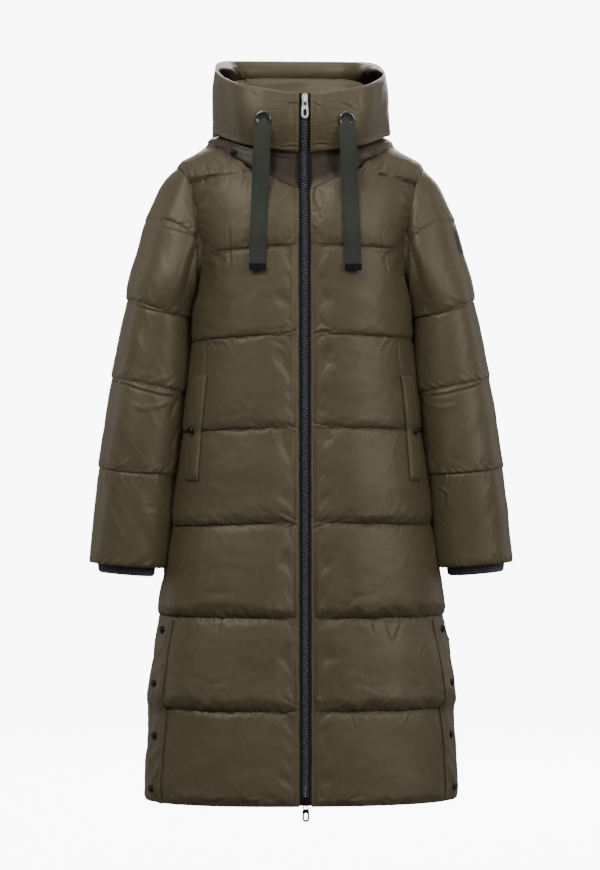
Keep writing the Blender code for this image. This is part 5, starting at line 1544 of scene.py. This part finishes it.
# Main creases, placed where the photo shows them: kind, half width and depth in
# millimetres, and the line in picture places (photo pixels, across and down). A fold is raised
# on one side of its line and sunk on the other: a positive depth raises the side that is on
# the right when walking along it.
CREASES = {
    "front_right": (
        ("fold", 2.0, -1.3, (188, 178), (198, 176.5), (225, 175), (252, 173.5)),
        ("fold", 1.9, 1.5, (206, 177), (203, 182), (199, 189)),
        ("fold", 1.6, 1.0, (229.5, 175), (225, 182)), ("fold", 1.4, 0.8, (214, 177), (211, 182)),
        ("fold", 2.6, 1.6, (188.5, 179), (192, 198), (197, 217)),
        ("groove", 2.2, 1.4, (182, 174), (190, 196), (197, 214)),
        ("fold", 2.0, -1.8, (270, 171.8), (284, 173), (297, 173)),
        ("fold", 2.0, -1.9, (271, 173.5), (286, 182), (299, 188)),
        ("fold", 1.7, -1.2, (279, 174), (298, 185)),
        ("fold", 1.5, -0.8, (289, 196), (296, 201)), ("fold", 1.5, -0.8, (287, 214), (296, 217)),
        ("fold", 1.5, 0.7, (286, 222), (296, 220)), ("fold", 1.5, -0.7, (288, 230), (296, 233)),
        ("fold", 1.8, 1.1, (226.5, 228), (228, 246), (227, 262)),
        ("fold", 1.6, -0.9, (231, 229), (231, 250), (232, 268)),
        ("groove", 1.7, 0.9, (197, 255), (228, 252), (262, 248), (297, 244)),
        ("ridge", 2.2, 1.1, (204, 315), (199, 325), (194, 336)),
        ("fold", 2.2, 1.3, (285, 320), (292, 324), (298, 330)),
        ("fold", 1.7, 0.9, (280, 336), (298, 331)),
        ("groove", 1.8, 1.3, (205, 340), (205.5, 358), (204.5, 377)),
        ("fold", 2.0, 1.2, (284, 424), (298, 431)), ("fold", 2.0, 1.2, (283, 516), (298, 522)),
        ("fold", 2.0, -1.1, (284, 528), (298, 523)),
        ("fold", 2.1, 1.4, (283, 700), (290, 704), (298, 707)),
        ("fold", 1.8, -1.1, (276, 716), (286, 712), (298, 708)),
        ("groove", 1.5, 0.8, (169.5, 618), (169.5, 640)),
        ("ridge", 2.4, 1.3, (166, 640), (160, 700), (152, 762)),
        ("ridge", 2.1, 1.1, (166, 712), (158, 745), (150, 776)),
        ("ridge", 2.0, 0.9, (173, 735), (165, 757), (157, 776)),
        ("fold", 2.4, -1.5, (198, 798), (212, 801), (226, 798)),
        ("fold", 2.4, -1.5, (240, 799), (251, 802), (264, 799)),
        ("ridge", 2.2, 0.9, (180, 540), (190, 536), (206, 530)),
        ("fold", 1.9, 0.9, (196, 626), (190, 640)), ("fold", 1.9, -0.9, (222, 620), (219, 633)),
        ("fold", 1.8, 0.9, (250, 716), (244, 730)), ("fold", 1.8, 0.8, (206, 714), (202, 726)),
        ("groove", 2.6, 0.8, (190, 588), (214, 594), (236, 592)),
        ("groove", 2.6, 0.8, (186, 676), (212, 684), (240, 680))),
    "front_left": (
        ("fold", 2.0, -1.8, (311.5, 173.5), (325, 171), (342, 170.5)),
        ("fold", 1.9, 1.8, (322, 179), (329, 175), (336, 173)),
        ("fold", 1.6, -1.3, (313, 182), (319, 184), (312.5, 192)),
        ("groove", 1.8, 1.0, (359, 176), (375, 175.4), (403, 173.6), (419, 178)),
        ("fold", 1.5, 1.0, (385, 177), (381, 182)), ("fold", 1.4, -0.8, (372, 177), (374, 182)),
        ("fold", 1.4, 0.7, (394, 175), (391, 180)),
        ("ridge", 1.9, 1.4, (417.7, 174), (418.5, 186), (413.5, 194), (418, 201), (414, 210),
         (413, 224), (413, 242)),
        ("fold", 1.6, 1.0, (419, 201), (415.5, 214), (414, 232), (413.5, 250)),
        ("fold", 1.5, 0.8, (313, 196), (322, 200)), ("fold", 1.5, -0.8, (313, 210), (324, 209)),
        ("fold", 1.5, 0.7, (313, 222), (321, 226)), ("fold", 1.5, -0.7, (313, 234), (322, 232)),
        ("groove", 1.7, 0.9, (313, 245), (340, 249), (372, 252), (408, 257)),
        ("fold", 1.6, 1.0, (381, 230), (382, 243)), ("fold", 1.6, -0.9, (386, 258), (389, 272)),
        ("fold", 2.0, -1.1, (313, 334), (322, 330), (332, 330)),
        ("groove", 1.8, 1.3, (397.5, 341), (399, 358), (402, 375)),
        ("fold", 1.9, 1.1, (313, 424), (326, 427)), ("fold", 2.0, 1.3, (312, 520), (321, 510)),
        ("fold", 2.0, -1.1, (312, 528), (322, 524)),
        ("ridge", 2.3, 1.3, (440, 524), (437, 542), (432, 561)),
        ("ridge", 2.0, 1.5, (388, 609), (392, 613), (396, 618)),
        ("fold", 2.8, -0.9, (385, 620), (391, 641)), ("fold", 2.8, 0.9, (401, 620), (393, 641)),
        ("fold", 2.6, -0.8, (370, 618), (375, 634)),
        ("fold", 1.9, 1.0, (426, 640), (420, 655)), ("fold", 2.0, -1.2, (313, 700), (323, 703)),
        ("fold", 1.8, -0.9, (352, 714), (356, 728)), ("fold", 1.8, 0.9, (410, 712), (404, 726)),
        ("ridge", 2.3, 1.2, (436, 642), (444, 700), (449, 764)),
        ("ridge", 2.0, 0.9, (433, 712), (442, 745), (449, 776)),
        ("groove", 1.5, 0.8, (432.5, 618), (432.5, 640)),
        ("fold", 2.2, -1.2, (340, 800), (352, 803), (366, 800)),
        ("fold", 2.2, -1.2, (388, 799), (398, 802), (410, 799)),
        ("groove", 2.6, 0.8, (340, 592), (362, 597), (384, 592)),
        ("groove", 2.6, 0.8, (350, 682), (374, 688), (398, 682))),
    "sleeve_right": (
        ("groove", 1.7, 1.0, (160, 226.5), (178, 232), (197, 237)),
        ("fold", 2.0, -1.4, (128, 302), (150, 309), (172, 314), (196, 318)),
        ("fold", 2.2, -1.8, (112, 379), (138, 388), (160, 394), (177, 396)),
        ("fold", 2.2, 1.6, (108, 394), (114, 384), (121, 381)),
        ("fold", 1.7, -1.1, (109, 379), (121, 384)),
        ("ridge", 2.6, 1.5, (129, 403), (143, 408.5), (158, 406), (173, 401)),
        ("groove", 2.8, 2.4, (181, 396), (175, 405), (170, 417)),
        ("fold", 2.0, -1.6, (99, 468), (122, 471), (146, 473), (169, 474)),
        ("fold", 2.0, 1.5, (144, 509), (155, 510), (165, 515)),
        ("fold", 2.0, -1.5, (181, 424), (176, 436), (173, 450)),
        ("fold", 2.0, 1.4, (181, 452), (176, 462), (172, 470)),
        ("fold", 2.0, -1.5, (180, 486), (175, 497), (172, 510)),
        ("fold", 2.0, 1.4, (179, 515), (174, 527), (172, 541)),
        ("fold", 1.8, -1.2, (178, 532), (174, 545), (172, 558)),
        ("fold", 1.7, 0.9, (106, 472), (109, 482)), ("fold", 1.7, -0.9, (117, 473), (120, 481)),
        ("fold", 1.7, 0.9, (129, 474), (131, 482)), ("fold", 1.7, -0.9, (141, 475), (142, 482)),
        ("fold", 1.7, 0.9, (153, 476), (154, 483)), ("fold", 1.6, -0.9, (112, 463), (110, 457)),
        ("fold", 1.6, 0.9, (134, 467), (131, 461)), ("fold", 1.6, -0.9, (156, 468), (153, 462)),
        ("fold", 1.8, 0.9, (140, 386), (134, 377)), ("fold", 1.8, -0.8, (160, 391), (156, 383)),
        ("fold", 1.8, 0.9, (178, 296), (172, 288)), ("fold", 1.7, 0.8, (150, 306), (147, 298))),
    "sleeve_left": (
        ("groove", 1.7, 1.0, (415, 234), (432, 231), (449.5, 229)),
        ("fold", 1.7, 0.9, (423, 174), (426, 181)), ("fold", 1.7, -0.8, (429, 177), (431, 186)),
        ("groove", 6.0, 1.6, (427, 180), (424, 205), (421, 232)),
        ("fold", 2.0, -1.4, (413, 318), (436, 314), (458, 308), (475, 302)),
        ("fold", 2.2, -1.7, (422, 396), (446, 393), (470, 387), (488, 380)),
        ("fold", 1.8, 1.1, (475, 360), (484, 366)), ("fold", 1.7, -1.0, (474, 367), (482, 371)),
        ("fold", 2.0, -1.6, (432, 474), (456, 473), (480, 471), (500, 468)),
        ("fold", 2.2, -2.0, (436, 487), (447, 494), (446, 508)),
        ("groove", 2.0, 1.6, (438, 452), (431, 459), (437, 468)),
        ("ridge", 2.4, 1.2, (424, 402), (440, 408), (458, 405)),
        ("groove", 2.6, 1.8, (420, 398), (425, 408), (430, 418)),
        ("fold", 1.9, 1.3, (421, 428), (426, 440), (428, 452)),
        ("fold", 1.9, -1.2, (424, 508), (428, 520), (430, 535)),
        ("fold", 1.7, 0.9, (448, 474), (446, 483)), ("fold", 1.7, -0.9, (462, 473), (461, 482)),
        ("fold", 1.7, 0.9, (474, 472), (474, 481)), ("fold", 1.7, -0.9, (488, 471), (489, 479)),
        ("fold", 1.6, 0.9, (455, 467), (458, 460)), ("fold", 1.6, -0.9, (480, 465), (482, 459)),
        ("fold", 1.8, 0.9, (452, 390), (457, 381)), ("fold", 1.7, -0.8, (436, 312), (440, 304))),
    "neck_band": (
        ("fold", 1.8, -1.1, (270, 156), (284, 158), (298, 159)),
        ("fold", 1.8, 1.5, (312, 160), (320, 163.5), (331, 165.5), (342, 166)),
        ("fold", 1.6, -1.2, (331, 166), (337, 169), (342, 171)),
        ("ridge", 1.7, 2.0, (364, 155.3), (378, 151), (392, 147)),
        ("fold", 2.0, -2.2, (360, 162), (372, 157), (392, 149)),
        ("ridge", 1.6, 1.5, (362.5, 152), (364, 158)),
        ("fold", 2.0, -2.0, (212, 140), (226, 143), (240, 147), (252, 151)),
        ("ridge", 1.8, 1.8, (208, 148), (218, 145.5), (230, 148))),
    "hood_side_right": (
        ("fold", 1.7, 1.2, (223.5, 80), (220, 86), (219.5, 92)),
        ("fold", 1.5, -0.9, (214, 84), (222, 88)),
        ("fold", 1.4, -0.8, (252, 90), (256, 96)), ("fold", 1.4, 0.8, (262, 92), (266, 98)),
        ("fold", 1.5, -1.0, (286, 102), (299, 103)),
        ("fold", 1.8, -1.3, (281, 147), (289, 145.3), (298, 146)),
        ("fold", 2.0, -0.9, (225, 100), (222, 112)), ("groove", 4.0, 0.8, (216, 100), (220, 124))),
    "hood_side_left": (
        ("fold", 1.5, -1.0, (313.5, 101), (320, 106)),
        ("fold", 1.7, 1.2, (350.5, 88), (357, 98), (359.5, 110)),
        ("fold", 1.6, -1.0, (341, 102), (350, 105), (357, 112)),
        ("fold", 1.4, 0.8, (331, 90), (334, 95)), ("fold", 1.4, -0.9, (344, 87), (348, 93)),
        ("fold", 1.8, -1.4, (313.5, 144.5), (321, 143), (328, 144)),
        ("groove", 4.5, 0.9, (386, 92), (383, 108), (385, 126)),
        ("ridge", 3.0, 0.8, (389, 96), (386, 112), (389, 128))),
}


def mirrored(creases):
    """The same creases on the coat's other side."""
    turned_over = []
    for kind, width, depth, *line in creases:
        line = [(2 * COAT_MIDDLE - x, y) for x, y in line]
        turned_over.append((kind, width, -depth if kind == "fold" else depth, *line))
    return turned_over


# Creases of the hidden half, a guess, in picture places as seen through the coat.
CREASES_BEHIND = {
    "sleeve_right": mirrored(CREASES["sleeve_left"]),
    "sleeve_left": mirrored(CREASES["sleeve_right"]),
    "back": (
        ("fold", 2.2, 1.3, (214, 259), (219, 272), (221, 286)),
        ("fold", 1.9, -1.0, (247, 258), (244, 270)), ("fold", 2.0, 1.1, (352, 258), (357, 271)),
        ("fold", 2.2, -1.3, (384, 260), (379, 275), (377, 288)),
        ("groove", 2.8, 0.9, (236, 305), (268, 311), (300, 308)),
        ("groove", 2.6, 0.8, (322, 318), (350, 322), (372, 318)),
        ("fold", 2.0, 1.2, (206, 341), (211, 353)), ("fold", 2.0, -1.1, (262, 341), (259, 354)),
        ("fold", 1.9, 1.0, (306, 342), (309, 353)), ("fold", 2.1, -1.2, (366, 341), (362, 356)),
        ("ridge", 2.4, 1.1, (196, 360), (204, 372), (207, 390)),
        ("ridge", 2.4, 1.1, (404, 362), (396, 376), (394, 392)),
        ("fold", 2.1, 1.2, (228, 428), (232, 441)), ("fold", 2.0, -1.0, (284, 428), (281, 439)),
        ("fold", 2.1, 1.2, (338, 428), (343, 442)), ("fold", 2.0, -1.1, (394, 427), (390, 440)),
        ("groove", 2.8, 0.9, (214, 478), (244, 484), (276, 481)),
        ("groove", 2.6, 0.8, (326, 470), (356, 475), (384, 470)),
        ("fold", 2.2, -1.4, (196, 520), (203, 510), (214, 504)),
        ("fold", 2.2, 1.4, (404, 520), (397, 510), (386, 504)),
        ("fold", 2.0, 1.1, (246, 520), (250, 533)), ("fold", 2.0, -1.1, (312, 520), (308, 532)),
        ("fold", 2.1, 1.2, (364, 520), (369, 534)), ("fold", 2.2, 1.4, (210, 608), (216, 623)),
        ("fold", 2.0, -1.1, (268, 608), (264, 620)), ("fold", 2.1, 1.2, (330, 608), (335, 622)),
        ("fold", 2.2, -1.3, (392, 608), (386, 624)),
        ("groove", 3.0, 0.9, (222, 656), (258, 663), (292, 659)),
        ("groove", 2.8, 0.8, (334, 650), (362, 655), (390, 649)),
        ("fold", 2.1, 1.2, (232, 695), (237, 708)), ("fold", 2.0, -1.0, (292, 695), (289, 707)),
        ("fold", 2.2, 1.3, (350, 695), (356, 710)), ("fold", 2.0, -1.1, (408, 694), (402, 707)),
        ("ridge", 2.4, 1.2, (186, 700), (194, 716), (197, 736)),
        ("ridge", 2.4, 1.2, (416, 700), (408, 718), (405, 738)),
        ("groove", 2.6, 0.8, (240, 742), (272, 747), (304, 743))),
}


def photo_places(points):
    """Where points fall in the picture, in its places."""
    x, y = points[..., 0] - CAMERA_SHIFT, points[..., 1]
    right = x * math.cos(CAMERA_TURN) - y * math.sin(CAMERA_TURN)
    depth = x * math.sin(CAMERA_TURN) + y * math.cos(CAMERA_TURN) + CAMERA_DISTANCE
    scale = CAMERA_LENS / CAMERA_SENSOR * PICTURE_HEIGHT / depth
    return np.stack((PICTURE_WIDTH / 2 + right * scale,
                     PICTURE_HEIGHT / 2 - (points[..., 2] - CAMERA_HEIGHT) * scale), -1)


def stroke(places, line):
    """Signed distance to a line, in picture places, and the share along it."""
    best = np.full(places.shape[:-1], np.inf)
    signed, share = np.zeros_like(best), np.zeros_like(best)
    line = np.asarray(line, float)
    spans = len(line) - 1
    for k in range(spans):
        a, run = line[k], line[k + 1] - line[k]
        gap = places - a
        t = np.clip((gap @ run) / (run @ run), 0, 1)
        gap = gap - t[..., None] * run
        size = np.linalg.norm(gap, axis=-1)
        nearer = size < best
        side = np.where(run[0] * gap[..., 1] - run[1] * gap[..., 0] >= 0, 1, -1)
        best = np.where(nearer, size, best)
        signed, share = np.where(nearer, side * size, signed), np.where(nearer, (k + t) / spans, share)
    return signed, share


# Creases of the lining that shows inside the hood.
CREASES_INSIDE = {
    "hood_middle": (
        ("groove", 1.8, 1.2, (298, 62), (298.5, 72)),
        ("fold", 2.0, -1.6, (276, 86), (298, 84.5), (318, 83)),
        ("groove", 7.0, 6.5, (286, 88), (301, 88), (315, 87)),
        ("fold", 2.2, 1.6, (255, 83), (266, 89), (276, 91)),
        ("fold", 2.0, -1.5, (306, 92), (318, 85)), ("fold", 1.8, 1.2, (334, 72), (332, 80)),
        ("fold", 2.0, 1.6, (330, 84), (344, 86)), ("fold", 2.0, -1.4, (240, 84), (256, 86)),
        ("fold", 2.4, 2.2, (346, 78), (340, 84), (348, 88)),
        ("ridge", 3.0, 1.6, (300, 76), (306, 73), (312, 77))),
    "hood_side_right": (
        ("groove", 3.2, 4.0, (234, 62), (242, 70), (247, 78)),
        ("ridge", 3.0, 6.0, (226, 62), (229, 70), (236, 76)),
        ("fold", 2.6, -4.0, (220, 66), (227, 74), (228, 81)),
        ("ridge", 2.6, 5.0, (234, 64), (238, 72), (243, 80)),
        ("groove", 2.6, 3.0, (240, 80), (246, 80), (250, 76))),
    "hood_side_left": (
        ("groove", 3.0, 4.0, (373, 62), (368, 70), (360, 80)),
        ("ridge", 2.8, 6.0, (378, 63), (373, 72), (366, 80)),
        ("fold", 2.6, 4.0, (385, 67), (379, 75), (372, 82)),
        ("ridge", 2.4, 4.5, (370, 63), (366, 70), (360, 78)),
        ("groove", 2.4, 3.0, (382, 72), (375, 80), (366, 84))),
}


def inner_creases(panel):
    """Press the creases that show inside the hood into its lining."""
    inner = panel.grid - panel.normals * panel.depth[..., None]
    lift = crease_lift(photo_places(inner), CREASES_INSIDE.get(panel.name, ()))
    panel.depth = panel.depth + np.maximum(lift, -0.0032) * step(-0.45, -0.10, panel.normals[..., 1])


def crease_lift(places, creases):
    """How far some creases raise each point; each one dies out at its ends."""
    lift = np.zeros(places.shape[:2])
    for kind, width, depth, *line in creases:
        signed, share = stroke(places, line)
        u = signed * PLACE_SIZE / width
        ends = np.clip(np.sin(np.pi * np.clip(share, 0.02, 0.98)) * 1.6, 0, 1) ** 0.7
        if kind == "fold":
            shape = 1.65 * u * np.exp(-np.abs(u) ** 1.6 * 0.8)
        else:
            shape = np.exp(-u * u) * (1 if kind == "ridge" else -1)
        lift += depth * 0.001 * shape * ends
    return lift


def add_creases(panel):
    """Press the listed creases into the halves of a piece that face the front and the back."""
    normals = renew_normals(panel)
    places = photo_places(flip(panel.outer, panel.side))
    for creases, ahead in ((CREASES, -normals[..., 1]), (CREASES_BEHIND, normals[..., 1])):
        lift = crease_lift(places, creases.get(panel.name, ())) * step(-0.05, 0.25, ahead)
        panel.outer = panel.outer + normals * lift[..., None]


def zip_line(panel, rows, offset, last=False):
    """Topstitching beside the zip, at an offset from a panel's first or last column."""
    along = run_along(panel.grid, 1)[rows // 2]
    if last:
        along = along[-1] - along
    column = int(np.argmin(np.abs(along - offset)))
    normals = renew_normals(panel)
    STITCHES.extend(stitch_run(panel.outer[1:rows, column], normals[1:rows, column], **ZIP_STITCH))


SHELL_DEPTH, BAND_DEPTH = 0.0035, 0.0030      # how far the inside lies below the sewn surface
ZIP_STITCH_AT = {"right": 0.0046, "left": 0.0025}


def cloth_parts():
    """Cut, fill, gather, crease and dress every cloth piece, and stitch its seams."""
    fronts = {label: front_panel(side, label, 100 + side) for side, label in SIDES}
    back = back_panel(300)
    sleeves = {label: sleeve_panel(side, label, 500 + side * 40) for side, label in SIDES}
    hoods, hood_grid, level = hood_panels(700)
    band = neck_band_panel(hood_grid, level, 800)
    filled = [*fronts.values(), back, *sleeves.values(), *hoods]
    inflate(filled)
    for panel in fronts.values():
        add_puckers(panel, fade=body_fade(panel, True))
    add_puckers(back, fade=body_fade(back, False))
    for panel in sleeves.values():
        add_puckers(panel, down=True)
    for panel in hoods:
        lift = crumple(panel, HOOD_CRUMPLE) * puff(panel.places[:, 1:]) * body_fade(panel, False)
        panel.outer = panel.outer + renew_normals(panel) * lift[..., None]
    for panel in filled:
        add_creases(panel)
        hood = panel.name.startswith("hood")
        if hood:
            inner_creases(panel)
        item = dress(panel, panel.depth if hood else SHELL_DEPTH, CLOTH, skip=2 if hood else 3)
    add_creases(band)
    # The band is dressed in the darker copy of the nylon: painted shade under the hood.
    item = dress(band, BAND_DEPTH, PAINTED_SHADE_CLOTH, skip=2)
    for panel in (*fronts.values(), back, *sleeves.values()):
        seam_lines(panel)
    for panel, label in zip(fronts.values(), fronts):
        zip_line(panel, len(FINE_ROWS) + YOKE_STEPS, ZIP_STITCH_AT[label])
    zip_line(hoods[0], HOOD_ROWS, ZIP_STITCH_AT["right"])
    zip_line(hoods[2], HOOD_ROWS, ZIP_STITCH_AT["left"], last=True)


# the pocket welt's middle line and width: x and z at its top and its foot
WELT_X, WELT_Z, WELT_WIDTH = (0.165, 0.180), (-0.366, -0.535), 0.019
# the same for the vent strip, which looks outwards at an angle from the side
VENT_X, VENT_Y, VENT_Z, VENT_WIDTH = (0.2220, 0.2340), (-0.071, -0.075), (-0.762, -1.054), 0.042
VENT_TURN = math.radians(29)
WELT_STEPS, VENT_STEPS, BADGE_STEPS = 40, 60, 24
BADGE_MIDDLE, BADGE_HALF, BADGE_WIDTH = np.array((0.262, -0.052, -0.145)), 0.0175, 0.017


def pocket(side, label):
    """Slanted welt with its snap."""
    name, centres = "pocket_welt_cloth_" + label, []
    for t in np.arange(WELT_STEPS + 1) / WELT_STEPS:
        centres.append(np.array((mix(*WELT_X, t ** 0.8) * side, AHEAD, mix(*WELT_Z, t))))
    item, outer, normals = strip(name, "front_" + label, centres, np.array((WELT_WIDTH, 0.0, 0.0)),
                                 FROM_FRONT, 0.0030, 0.0020, CLOTH, "pocket_welt_" + label,
                                 bow=0.0012)
    STITCHES.extend(edge_stitches(outer, normals, WELT_STITCH))
    snap("pocket_snap_" + label, name, FROM_FRONT)


def vent(side, label):
    """Stiffened strip along the closed side vent, with its four snaps."""
    inward = np.array((-side * math.cos(VENT_TURN), math.sin(VENT_TURN), 0.0))
    across = np.array((side * math.sin(VENT_TURN), math.cos(VENT_TURN), 0.0))
    name, centres = "vent_placket_cloth_" + label, []
    for t in np.arange(VENT_STEPS + 1) / VENT_STEPS:
        centre = np.array((mix(*VENT_X, t) * side, mix(*VENT_Y, t), mix(*VENT_Z, t)))
        centres.append(centre - inward * 0.15)
    item, outer, normals = strip(name, "front_" + label, centres, across * VENT_WIDTH, inward,
                                 0.0018, 0.0014, CLOTH, "vent_placket_" + label, columns=20,
                                 bow=0.0006, rumple=0.0012)
    STITCHES.extend(edge_stitches(outer, normals, WELT_STITCH, ends=False))
    for number in range(1, 5):
        snap("vent_snap_%s_%d" % (label, number), name, inward)


def badge():
    """Plain stitched patch; what the real one shows is left off."""
    direction = unit(np.array((-0.80, 0.60, 0.0)))
    across = unit(np.array((0.60, 0.80, 0.0)))
    centres = [BADGE_MIDDLE + UP * (BADGE_HALF * (1 - 2 * k / BADGE_STEPS)) - direction * 0.2
               for k in range(BADGE_STEPS + 1)]
    item, outer, normals = strip("sleeve_badge_cloth", "sleeve_left", centres, across * BADGE_WIDTH,
                                 direction, 0.0016, 0.0006, BADGE, "sleeve_badge")
    bars_piece("sleeve_badge_edge", edge_stitches(outer, normals, BADGE_STITCH), TAPE_END)


EYELET_PROFILE = ((0.0138, -0.0012), (0.0141, 0.0008), (0.0137, 0.0021), (0.0126, 0.0029),
                  (0.0112, 0.0032), (0.0097, 0.0029), (0.0087, 0.0020), (0.0080, 0.0009),
                  (0.0060, 0.0006), (0.0002, 0.0006))


def eyelet_place(label):
    """Place on the dressed hood that is in front of the solid's eyelet, and its normal."""
    low, high = corners_of("eyelet_" + label)
    centre = (low + high) / 2
    return land("hood_side_" + label, (centre[0], AHEAD, centre[2]), FROM_FRONT)


def eyelet(label):
    """Rolled metal ring, pressed through the hood's side."""
    place, normal = eyelet_place(label)
    item = turned("eyelet_ring_" + label, EYELET_PROFILE, place, normal, DARK, count=56)
    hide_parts("eyelet_" + label)


def metal_nodes():
    """The sliders and pull tabs stay as solids and get their finish."""
    for name, material in (("slider_top", STEEL), ("pull_top", STEEL), ("slider_bottom", SNAP_METAL),
                           ("pull_bottom", SNAP_METAL)):
        for place in NODES[name].material_slots:
            place.material = material


# ---------------------------------------------------------------- stage, light and camera
def build_stage():
    """Pale seamless floor that turns up into a round wall and a ceiling, far outside the coat."""
    radius, low, high, turn, around = 18.0, -1.42, 17.0, 6.0, 96
    bend_angles = np.linspace(0, math.pi / 2, 13)
    profile = [(0.05, low)] + [(radius - turn + turn * math.sin(a), low + turn * (1 - math.cos(a)))
                               for a in bend_angles]
    profile += [(radius - turn + turn * math.cos(a), high - turn + turn * math.sin(a))
                for a in bend_angles] + [(0.05, high)]
    angles = 2 * math.pi * np.arange(around) / around
    points = [(r * math.cos(a), r * math.sin(a), z) for r, z in profile for a in angles]
    mesh = bpy.data.meshes.new("backdrop")
    mesh.from_pydata(points, [], tube_faces(len(profile), around))
    mesh.shade_smooth()
    material, tree, shader, place = nodes_of("pale paper")
    tree.links.new(ramp(tree, noise(tree, place, 3.0), ((0.3, (0.88, 0.88, 0.88)),
                                                        (0.7, (0.90, 0.90, 0.90)))),
                   shader.inputs["Base Color"])
    settle(shader, Roughness=0.9, Emission_Color=(1.0, 1.0, 1.0, 1.0), Emission_Strength=8.5)
    mesh.materials.append(material)
    item = bpy.data.objects.new("backdrop", mesh)
    item.visible_diffuse = item.visible_glossy = item.visible_shadow = False
    bpy.context.scene.collection.objects.link(item)


def area_light(name, place, target, size, power):
    """A soft light of a size (width, height) in metres, aimed at a target."""
    data = bpy.data.lights.new(name, "AREA")
    data.shape = "RECTANGLE"
    data.size, data.size_y = size
    data.energy = power
    item = bpy.data.objects.new(name, data)
    item.location = place
    item.rotation_euler = (Vector(target) - Vector(place)).to_track_quat("-Z", "Y").to_euler()
    bpy.context.scene.collection.objects.link(item)


def build_light():
    world = bpy.data.worlds.new("studio")
    bpy.context.scene.world = world
    world.use_nodes = True
    sky = world.node_tree.nodes["Background"]
    sky.inputs["Color"].default_value = (1.0, 1.0, 1.0, 1.0)
    sky.inputs["Strength"].default_value = 0.30
    area_light("key", (-1.9, -3.2, 2.4), (0, 0, -0.45), (2.0, 1.5), 158)
    area_light("fill", (2.6, -3.2, 1.0), (0, 0, -0.7), (1.6, 2.0), 100)
    area_light("rim left", (-3.0, 1.0, 0.2), (-0.2, 0, -0.5), (0.7, 2.4), 14)
    area_light("rim right", (3.0, 1.0, 0.2), (0.2, 0, -0.5), (0.7, 2.4), 14)
    area_light("top", (0.0, -0.5, 2.9), (0, 0, -0.4), (2.6, 1.6), 54)
    area_light("back", (0.6, 4.2, 1.2), (0, 0, -0.5), (2.6, 2.2), 150)


def build_camera():
    data = bpy.data.cameras.new("camera")
    data.lens = CAMERA_LENS
    data.sensor_width = CAMERA_SENSOR
    item = bpy.data.objects.new("camera", data)
    item.location = (CAMERA_SHIFT - CAMERA_DISTANCE * math.sin(CAMERA_TURN),
                     -CAMERA_DISTANCE * math.cos(CAMERA_TURN), CAMERA_HEIGHT)
    item.rotation_euler = (math.radians(90), 0.0, -CAMERA_TURN)
    bpy.context.scene.collection.objects.link(item)
    bpy.context.scene.camera = item


# ---------------------------------------------------------------- assembly
build_camera()
build_stage()
build_light()
cloth_parts()
for number, (side, label) in enumerate(SIDES):
    tape, path, length = draw_tape(side, label, number)
    tip = tape_tip(label)
for side, label in SIDES:
    cuff(side, label)
    pocket(side, label)
    vent(side, label)
    eyelet(label)
zip_tapes()
badge()
snap("neck_snap", "neck_band", FROM_FRONT)
metal_nodes()
bars_piece("seam_thread", STITCHES, THREAD)
bars_piece("tape_thread", STITCHES_TAPE, WEBBING)
